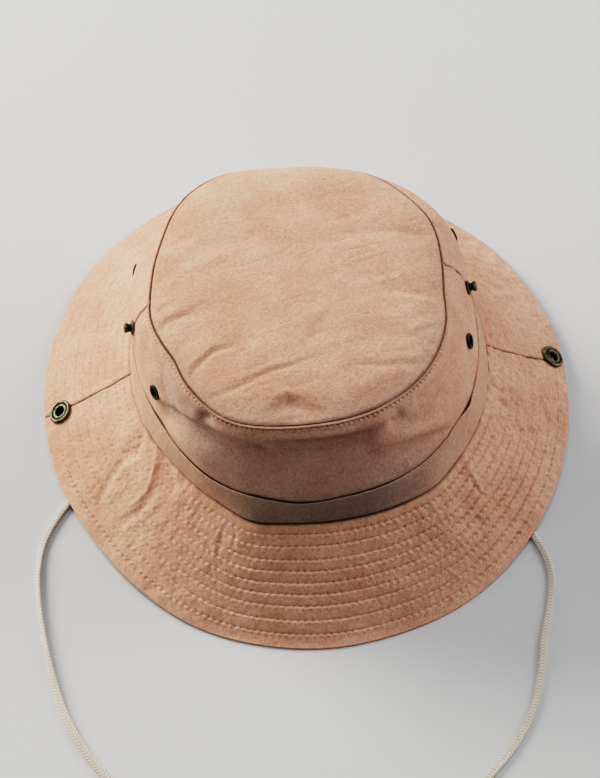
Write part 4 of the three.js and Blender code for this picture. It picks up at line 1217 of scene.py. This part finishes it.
def make_wall(name, node, start_side, end_side, material):
    """Half of the crown wall. Returns it and its stitch line."""
    z = wall_heights()
    start = seam_angle(start_side, z)[:, None]
    end = seam_angle(end_side, z)[:, None]
    end = end + 360 * (end < start)
    length = WALL_DEGREES * DEGREE_ARC
    u = refined_steps(WALL_COLUMNS, length)[None]
    half_gap = SEAM_HALF_GAP / DEGREE_ARC
    angle = lerp(start + half_gap, end - half_gap, u)
    heights = np.broadcast_to(z[:, None], angle.shape)
    from_seam = np.minimum(u, 1 - u) * length

    def surface(at, height):
        base, normal = crown_surface(at, height), wall_normals(at, height)
        detail = wall_detail(at, height, base) + seam_roll(from_seam)
        return base, normal, base + normal * detail[..., None]

    base, normal, outer = surface(angle, heights)
    below = (SEAM_Z - heights) / WALL_SLOPE
    inner = outer - normal * lerp(THIN_EDGE, WALL_CLOTH, smoothstep(below, 0.9, 3))[..., None]
    line_angle = angle[-1:]
    line_z = SEAM_Z - WALL_SLOPE * from_table(TOP_STITCH_BELOW, line_angle)
    line_base, line_normal, line = surface(line_angle, line_z)
    arc = run_of(line_base[0])
    weave = stacked(arc[None], heights)
    offset = below - from_table(TOP_STITCH_BELOW, angle)
    stitch = stacked(arc[None] / TOP_PITCH, offset)
    spots = [wall_place(*EYELET_PLACES[k])[0] for k in EYELET_PLACES if k.startswith(node)]
    holes = hole_cells(base, spots, EYELET_HOLE)
    # Painted shade, near black, along the top seam, along the side seams, on the turned-in edge
    # and on the wall behind the band's edge.
    at_top = WALL_DARK * from_table(SEAM_SHADE, angle) * bell(below - 0.55, 0.25)
    hidden = band_height(angle) + from_table(GAP_DARK, angle)
    under_band = BEHIND_DARK - BEHIND_DARK * smoothstep(heights, hidden - 0.5, hidden + 0.7)
    under_band = under_band * np.clip(from_table(BAND_TUCKS, angle) / 0.6, 0, 1)
    under_band = under_band * smoothstep(heights, *(hidden - d for d in BEHIND_BAND))
    # Painted shade over the front of the wall, leaning with height.
    leaned = angle - WALL_SHADE_LEAN * (WALL_SHADE_Z - np.minimum(heights, 75))
    shade = from_table(WALL_SHADE, leaned) * lerp(0.35, 1, smoothstep(below, 3, 10))
    painted_crease_shade = np.maximum(np.maximum(at_top, SEAM_DARK * bell(from_seam, SEAM_ROLL_WIDTH)),
                        under_band)
    painted_crease_shade = np.maximum(painted_crease_shade, TURNED_DARK * (below < TURNED_BELOW))
    marks = {"painted_crease_shade": painted_crease_shade, "shade": shade, "hole": from_table(SEAM_HOLES, angle)}
    piece = closed_wall(name, outer, inner, np.arange(len(z)), weave, material,
                        stitch=quads(stitch), holes=holes, marks=marks)
    own(piece, "cotton", f"crown_{node}_panel")
    return piece, dict(points=line[0], normals=line_normal[0], arc=arc)


def make_band(material):
    columns = 560
    angle = np.arange(columns) * 360.0 / columns
    tall = BAND_TOP - WALL_LOW
    foot = (JOINT_Z - WALL_LOW) / tall
    share = np.concatenate([np.linspace(0.0, foot, 4), foot + np.linspace(0.012, 0.06, 5),
                            np.linspace(foot + 0.09, 0.985, 22), [1.0]])
    a, s = np.meshgrid(angle, share)
    base = band_surface(a, s)
    normal = normals_of(band_surface, a, s, 0.5, 0.01)
    above = (s - foot) * tall
    ripple = 0.35 * noise(a / 9.0, s * 1.3, 2.2) + 0.18 * noise(a / 3.1, s * 2.0, 6.1)
    detail = -(0.2 + 0.35 * from_table(FOOT_SHADE, a)) * bell(above, CREASE_STEP)
    detail = detail + welt(above, 2.2, 1.4)
    detail = detail + ripple * smoothstep(above, 1, 5) * (1 - 0.5 * s)
    detail = detail + crumple(base, *BAND_CRUMPLES)
    waver = 0.35 * noise(a / 14.0, 0.3, 9.1) * smoothstep(s, 0.5, 1)
    base = base + np.stack([0 * waver, 0 * waver, waver], -1)
    outer = base + normal * detail[..., None]
    inner = outer - normal * BAND_CLOTH
    top_outer, top_inner = outer[-1], inner[-1]
    lift = unit(outer[-1] - outer[-2])
    rolled = rolled_edge(top_outer, top_inner, lift * 0.55 * BAND_CLOTH, (36, 72, 108, 144))
    outer = np.concatenate([outer, rolled])
    rows = np.concatenate([np.arange(0, len(share) - 1, 2), [len(outer) - 1]])
    inner = np.concatenate([inner[:len(share) - 1:2], top_inner[None]])
    ring = ring_closed(outer)
    arc = run_of(ring[len(share) // 2])
    weave = stacked(arc[None], ring[..., 2] + BAND_BIAS * arc[None])
    # Painted shade in the crease at the band's foot, and over the band's front.
    dark = from_table(FOOT_SHADE, angle) * bell((share[:, None] - foot) * tall, 0.65)
    painted_crease_shade = np.concatenate([dark, np.zeros((len(rolled), columns))])
    piece = closed_wall("band_cloth", outer, inner, rows, weave, material, ring=True,
                        marks={"painted_crease_shade": painted_crease_shade, "shade": from_table(BAND_SHADE, angle)})
    own(piece, "band_cotton", "band")


def brim_rows_of(steps_out):
    """Shares from the rim to the crown, denser at the stitch rows and both edges."""
    even = np.linspace(0.0, 1.0, steps_out)
    close = [r + d / BRIM_REACH for r in BRIM_ROWS for d in (-0.35, 0.0, 0.35)]
    edge = [0.004, 0.009, 0.016, 0.024, 0.985, 0.994]
    shares = np.unique(np.round(np.concatenate([even, close, edge]), 5))
    keep = np.concatenate([[True], np.diff(shares) > 0.0028])
    return shares[keep][::-1]


def make_brim(half, start_side, end_side, columns, steps_out, material):
    """Half of the brim, from the rim up to the crown. Returns it and its stitch rows."""
    start, end = SIDE_SEAMS[start_side], SIDE_SEAMS[end_side]
    wrap = 360 if end["crown"] < start["crown"] else 0
    share = brim_rows_of(steps_out)[:, None]
    u = refined_steps(columns, BRIM_LENGTH)[None]
    from_seam = np.minimum(u, 1 - u) * BRIM_LENGTH

    def angles_at(s):
        gap = SEAM_HALF_GAP / np.radians(lerp(CROWN_OUTLINES[0][1], RIM["half_x"], s))
        first = lerp(start["joint"], start["rim"], s) + gap
        last = lerp(end["joint"], end["rim"], s) + wrap - gap
        return lerp(first, last, u)

    arcs = np.array([run_of(brim_surface(angles_at(row)[0], np.full(u.shape[1], row)))
                     for row in BRIM_ROWS]) / BRIM_PITCH

    def surface(s, row_index):
        """Points, normals, and the stitch phase and distance from the given stitch row."""
        angle = angles_at(s)
        s = np.broadcast_to(s, angle.shape)
        base, normal = brim_surface(angle, s), brim_normals(angle, s)
        offset = (s - np.array(BRIM_ROWS)[row_index][:, None]) * brim_width(angle)
        phase = arcs[row_index] + 0 * offset
        detail = brim_detail(angle, s, base, phase, offset)
        detail = detail + seam_roll(from_seam)
        detail = lerp(detail, 0.35 * detail, smoothstep(s, RIM_SHARE, 1.0))
        return base, normal, base + normal * detail[..., None]

    nearest = np.abs(share - np.array(BRIM_ROWS)).argmin(1)
    base, normal, outer = surface(share, nearest)
    outer[..., 2] = np.maximum(outer[..., 2], LOWEST_UPPER)
    thick = lerp(BRIM_CLOTH, RIM_CLOTH, smoothstep(share, 0.9, 1.0)[..., None])
    smooth = base + UNDER_RELIEF * (outer - base)
    sunk = snap_wells(base)
    angles, width = angles_at(share), brim_width(angles_at(0.5))
    # Painted shade in the crease at the brim's foot, along the side seams and in the needle holes.
    foot = bell(share * width, CREASE_STEP) * from_table(FOOT_SHADE, angles)
    seam = SEAM_DARK * bell(from_seam, SEAM_ROLL_WIDTH) * (sunk == 0)
    shown = np.where((nearest == len(BRIM_ROWS) - 1)[:, None], from_table(RIM_HOLES, angles),
                     from_table(ROW_HOLES, angles))
    inner = np.where(share[..., None] > RIM_SHARE, outer, smooth) - normal * thick
    outer = outer - normal * sunk[..., None]
    inner[..., 2] = eased_out(inner[..., 2], *UNDER_EASE)
    inner[0, :, :2] = outer[0, :, :2] - 0.25 * unit(outer[0] - outer[1])[:, :2]
    out = unit((outer[0] - outer[2]) * (1, 1, 0))
    rolled = rolled_edge(inner[0], outer[0], out * 0.5, (35, 70, 110, 145))
    count = len(rolled)
    outer = np.concatenate([rolled, outer])
    marks = {"painted_crease_shade": np.maximum(foot, seam), "hole": shown * (sunk == 0)}
    marks = {mark: np.concatenate([np.repeat(grid[:1], count, 0), grid])
             for mark, grid in marks.items()}
    rows = np.concatenate([[0], np.arange(count + 2, len(outer), 2)])
    rows = rows if rows[-1] == len(outer) - 1 else np.append(rows, len(outer) - 1)
    inner = np.concatenate([inner[:1], inner[rows[1:] - count]])
    weave = outer[..., :2] / BRIM_WEAVE
    middle_share = (share[:-1, 0] + share[1:, 0]) / 2
    cell_row = np.abs(middle_share[:, None] - np.array(BRIM_ROWS)).argmin(1)
    stitch = np.full((len(outer) - 1, u.shape[1] - 1, 4, 2), NO_STITCH)
    for i, row in enumerate(cell_row):
        offset = (share[i:i + 2] - BRIM_ROWS[row]) * width
        phase = np.broadcast_to(arcs[row], offset.shape)
        stitch[i + count] = quads(np.stack([phase, offset], -1))[0]
    name = f"brim_{half}"
    piece = closed_wall(f"{name}_cloth", outer, inner, rows, weave, material, stitch=stitch,
                        marks=marks)
    own(piece, "cotton", name)
    lines = []
    for k, row in enumerate(BRIM_ROWS):
        base_row, normal_row, line = surface(np.array([[row]]), np.array([k]))
        lines.append(dict(points=line[0], normals=normal_row[0], arc=arcs[k] * BRIM_PITCH,
                          below=base_row[0] + UNDER_RELIEF * (line[0] - base_row[0])
                          - normal_row[0] * BRIM_CLOTH))
    return piece, lines


# ------------------------------------------------------------------ stitches

STITCH_RINGS = [(-0.5, 0.35, -0.30), (-0.34, 1.0, 0.02), (0.0, 1.1, 0.12), (0.34, 1.0, 0.02),
                (0.5, 0.35, -0.30)]  # along the stitch, radius share, height
STITCH_SIDES = 4
STITCH_MARGIN = 1.2  # no stitch lies closer to a seam than this


def stitch_rings(line, pitch, length, side=1, key="points"):
    """Short thread tubes along a line, each dipping into the cloth at both ends."""
    arc = line["arc"]
    count = int(arc[-1] / pitch)
    at = (np.arange(count) + 0.5) * pitch
    at = at[(at > STITCH_MARGIN) & (at < arc[-1] - STITCH_MARGIN)]
    sway = 0.5 * noise(at / 7.0, 3.0, arc[-1])
    points, normals = line[key], line["normals"] * side

    up = unit(points_at(at, arc, normals))
    ahead = unit(points_at(at + 0.5, arc, points) - points_at(at - 0.5, arc, points))
    across = np.cross(up, ahead)
    slant = np.radians(7 + 8 * sway)[:, None]
    ahead, across = (ahead * np.cos(slant) + across * np.sin(slant),
                     across * np.cos(slant) - ahead * np.sin(slant))
    centre = points_at(at, arc, points)
    a = circle(STITCH_SIDES)
    rings = []
    for along, radius, height in STITCH_RINGS:
        middle = centre + ahead * (along * length) + up * (height - THREAD_SUNK)
        rim = np.cos(a)[:, None] * up[:, None] * 0.8 - np.sin(a)[:, None] * across[:, None]
        rings.append(middle[:, None] + rim * radius * THREAD_RADIUS)
    return np.stack(rings, 1)


def make_stitches(name, all_rings, material):
    rings = np.concatenate(all_rings)
    along = np.array([r[0] for r in STITCH_RINGS]) * BRIM_STITCH
    along = np.broadcast_to(along, rings.shape[:2])
    round_it = np.linspace(0, 1, STITCH_SIDES + 1)
    return own(tube_mesh(name, rings, along, round_it, material), "cotton")


# ------------------------------------------------------------------ hardware

LATHE_SIDES = 48


def lathe(name, node, profile, place, material):
    """Turned piece from rows of radius, height and wear; a negative wear is painted shade, near
    black. A row of radius 0 closes it.
    """
    point, normal = place
    rows = np.array(profile, float)
    helper = np.array([0.0, 0.0, 1.0]) if abs(normal[2]) < 0.9 else np.array([0.0, 1.0, 0.0])
    x = unit(np.cross(helper, normal))
    y = np.cross(normal, x)
    a = circle(LATHE_SIDES)
    rim = np.cos(a)[:, None] * x + np.sin(a)[:, None] * y
    open_rows = rows[rows[:, 0] > 0]
    rings = point + open_rows[:, None, :1] * rim + open_rows[:, None, 1:2] * normal
    points = rings.reshape(-1, 3)
    wear_and_painted_shade = np.repeat(open_rows[:, 2], LATHE_SIDES)
    ids = np.arange(len(points)).reshape(-1, LATHE_SIDES)
    if (rows[:, 0] > 0).all():
        ids = np.concatenate([ids, ids[:1]])
    ids = ring_closed(ids)
    faces = [quads(ids).reshape(-1, 4)]
    for row, ring, order in ((rows[0], ids[0], -1), (rows[-1], ids[-1], 1)):
        if row[0] == 0:
            at = len(points)
            points = np.concatenate([points, [point + row[1] * normal]])
            wear_and_painted_shade = np.append(wear_and_painted_shade, row[2])
            fan = np.stack([ring[:-1], ring[1:], np.full(LATHE_SIDES, at)], -1)
            faces.append(fan[:, ::order])
    if len(faces) > 2:
        faces = [faces[0], np.concatenate(faces[1:])]
    uvs = {"weave": [np.zeros((f.size, 2)) for f in faces]}
    piece = make_piece(name, points, faces, uvs, material, sharp=40, marks={"wear_and_painted_shade": wear_and_painted_shade})
    return own(piece, "dark_brass", node)


SOCKET = [  # radius, height, wear; a negative wear is painted shade, near black
    (2.35, -1.3, -1), (3.0, -1.3, -1), (3.0, 0.25, 0), (5.7, 0.25, 0), (6.05, 0.35, 0),
    (6.28, 0.65, 0.2), (6.3, 1.0, 0.5), (6.18, 1.4, 0.8), (5.9, 1.72, 1), (5.5, 1.88, 1),
    (5.1, 1.86, 0.9), (4.75, 1.68, 0.4), (4.5, 1.42, 0), (4.3, 1.34, 0), (4.1, 1.42, 0.2),
    (3.85, 1.62, 0.8), (3.5, 1.74, 1), (3.1, 1.72, 1), (2.75, 1.55, 0.8), (2.5, 1.25, 0.1),
    (2.38, 0.9, -0.8), (2.35, 0.3, -1),
]
CAP = [
    (0, -3.45, 0.6), (2.4, -3.42, 0.6), (4.4, -3.3, 0.8), (5.6, -3.08, 1), (6.15, -2.8, 1),
    (6.3, -2.5, 0.6), (6.1, -2.3, 0), (2.2, -2.25, 0), (2.2, -1.45, -1), (1.9, -1.3, -1),
    (0, -1.25, -1),
]
STUD = [
    (0, -1.4, 0), (1.2, -1.4, 0), (1.2, 0.2, 0), (3.3, 0.2, 0), (3.6, 0.32, 0.2),
    (3.62, 0.55, 0.5), (3.4, 0.78, 0.6), (2.9, 0.9, 0.3), (2.2, 1.02, 0), (1.92, 1.3, 0),
    (1.9, 2.4, 0), (2.2, 2.75, 0.1), (2.46, 3.1, 0.4), (2.5, 3.5, 0.6), (2.38, 3.95, 0.8),
    (2.05, 4.28, 0.8), (1.6, 4.4, 0.5), (1.0, 4.34, 0.2), (0, 4.3, 0.1),
]
STUD_BACK = [
    (0, -2.85, 0.6), (2.2, -2.82, 0.6), (3.6, -2.7, 0.8), (4.35, -2.45, 1), (4.6, -2.15, 0.7),
    (4.5, -1.8, 0.2), (4.2, -1.7, 0), (0, -1.7, 0),
]
EYELET = [
    (2.3, -2.0, -1), (2.6, -2.45, 0.3), (3.1, -2.6, 0.8), (3.55, -2.4, 0.6), (3.7, -2.0, 0.1),
    (3.5, -1.75, 0), (2.72, -1.75, 0), (2.72, 0.3, 0), (3.7, 0.3, -0.3), (3.86, 0.42, -0.3),
    (3.9, 0.62, -0.2), (3.78, 0.9, -0.1), (3.5, 1.08, 0.1), (3.2, 1.12, 0.2), (2.85, 1.05, 0),
    (2.5, 0.86, -0.3), (2.34, 0.55, -0.8), (2.3, 0.2, -1),
]


def make_hardware(material):
    for side, spot in SNAP_PLACES.items():
        place = brim_place(*spot)
        lathe(f"snap_socket_{side}", f"brim_snap_{side}", SOCKET, place, material)
        lathe(f"snap_cap_{side}", f"brim_snap_cap_{side}", CAP, place, material)
    for side, spot in STUD_PLACES.items():
        place = wall_place(*spot)
        lathe(f"snap_stud_{side}", f"crown_stud_{side}", STUD, place, material)
        lathe(f"snap_stud_back_{side}", f"crown_stud_back_{side}", STUD_BACK, place, material)
    for corner, spot in EYELET_PLACES.items():
        lathe(f"air_eyelet_{corner}", f"eyelet_{corner}", EYELET, wall_place(*spot), material)


TAB_RINGS, TAB_SIDES = 26, 28
TAB_GAP, TAB_ROUND = 1.0, 1.4  # its distance from the wall, and the height of its round ends
TAB_GIRTH = 28.0  # length of weave round it, about


def make_tab(side, material):
    """Folded cloth tab that holds an end of the cord: a soft flat bar with rounded ends."""
    sign, angle = (-1, 180.0) if side == "left" else (1, 0.0)
    count, turns = TAB_RINGS, TAB_SIDES
    a = circle(turns)
    t = np.linspace(0, 1, count)
    z = lerp(TAB["low"], TAB["high"], t)
    wall = np.abs(crown_surface(np.full(count, angle), z)[:, 0]) - WALL_CLOTH - TAB_GAP
    ends = np.minimum(t, 1 - t) * (TAB["high"] - TAB["low"])
    plump = np.sqrt(np.clip(1 - (1 - np.clip(ends / TAB_ROUND, 0, 1)) ** 2, 0.02, 1))
    half_thick, half_wide = TAB["thick"] / 2, TAB["wide"] / 2 - 0.2
    pinch = 1 - 0.16 * bell(z - TAB["low"] - 3.0, 0.8)
    across, through = signed_power(np.cos(a), 0.45), signed_power(np.sin(a), 0.6)
    x = sign * (wall - half_thick)[:, None] + half_thick * (plump * pinch)[:, None] * through
    y = CROWN_OUTLINES[0][4] + (half_wide - 0.5 * (1 - plump))[:, None] * across * -sign
    rings = stacked(x, y, z[:, None])
    round_it = np.linspace(0, TAB_GIRTH, turns + 1)
    piece = tube_mesh(f"tab_{side}", rings[None], z[None], round_it, material, sharp=80)
    corners = piece.data.uv_layers.new(name="stitch")
    corners.data.foreach_set("uv", np.tile(NO_STITCH, len(piece.data.loops)).astype(np.float32))
    own(piece, "cotton", f"cord_tab_{side}")


# ------------------------------------------------------------------ floor and light

FLOOR_HALF_SIZE = 8.0


def make_floor(material):
    mesh = bpy.data.meshes.new("studio_floor")
    size = FLOOR_HALF_SIZE
    mesh.from_pydata([(-size, -size, 0), (size, -size, 0), (size, size, 0), (-size, size, 0)], [],
                     [(0, 1, 2, 3)])
    mesh.materials.append(material)
    put_in_scene("studio_floor", mesh)


WARM, COOL = (1.0, 0.97, 0.90), (1.0, 1.005, 1.03)
LIGHTS = [  # name, azimuth and elevation in degrees, watts, colour
    ("key", 135, 25, 60.0, WARM),
    ("left", 180, 20, 9.6, WARM),
    ("right", 20, 35, 14.0, COOL),
    ("right_low", 0, 20, 10.0, COOL),
    ("overhead", 0, 90, 10.4, COOL),
]
LIGHT_DISTANCE, LIGHT_WIDTH, LIGHT_AIM = 2.2, 1.3, Vector((0, 0, 0.05))  # metres
SKY_COLOUR, SKY_STRENGTH = (0.6, 0.95, 1.25, 1.0), 0.06


def make_lights():
    for name, azimuth, elevation, power, colour in LIGHTS:
        a, e = math.radians(azimuth), math.radians(elevation)
        away = Vector((math.cos(a) * math.cos(e), math.sin(a) * math.cos(e), math.sin(e)))
        data = bpy.data.lights.new(name, "AREA")
        data.shape, data.size, data.energy = "DISK", LIGHT_WIDTH, power
        data.color = colour
        lamp = put_in_scene(name, data)
        lamp.location = LIGHT_AIM + LIGHT_DISTANCE * away
        lamp.rotation_mode = "QUATERNION"
        lamp.rotation_quaternion = away.to_track_quat("Z", "Y")
    world = bpy.data.worlds.new("studio")
    bpy.context.scene.world = world
    world.use_nodes = True
    sky = world.node_tree.nodes["Background"]
    sky.inputs[0].default_value = SKY_COLOUR
    sky.inputs[1].default_value = SKY_STRENGTH


# ------------------------------------------------------------------ the whole scene


def make_hat():
    cotton = cloth_material("cotton", tint("#ddac92"), tint("#d19a81"))
    # The band's cotton is a slightly darker copy of the same cloth: painted shade.
    band_cotton = cloth_material("band_cotton", tint("#d5a78d"), tint("#c8987e"))
    thread = thread_material("cotton_thread", tint("#dcb19a"), tint("#b98f78"))
    make_top(cotton)
    front, front_line = make_wall("crown_front_cloth", "front", "left", "right", cotton)
    back, back_line = make_wall("crown_back_cloth", "back", "right", "left", cotton)
    seam_rings = [stitch_rings(line, TOP_PITCH, TOP_STITCH) for line in (front_line, back_line)]
    for wall, half, rings in ((front, "front", seam_rings[:1]), (back, "back", seam_rings[1:])):
        sewn = make_stitches(f"crown_{half}_stitches", rings, thread)
    make_band(band_cotton)
    for half, sides, columns, steps_out in (("front", ("left", "right"), 560, 92),
                                            ("back", ("right", "left"), 380, 72)):
        brim, lines = make_brim(half, *sides, columns, steps_out, cotton)
        upper = [stitch_rings(line, BRIM_PITCH, BRIM_STITCH) for line in lines]
        lower = [stitch_rings(line, BRIM_PITCH, BRIM_STITCH, -1, "below") for line in lines]
        sewn = [make_stitches(f"brim_{half}_stitches_above", upper, thread),
                make_stitches(f"brim_{half}_stitches_below", lower, thread)]
    for side in ("left", "right"):
        make_tab(side, cotton)
    make_hardware(brass_material())


make_camera()
make_cord(cord_material())
make_hat()
make_floor(floor_material())
make_lights()
bpy.context.scene.view_settings.view_transform = "Filmic"
bpy.context.scene.view_settings.look = "Very High Contrast"
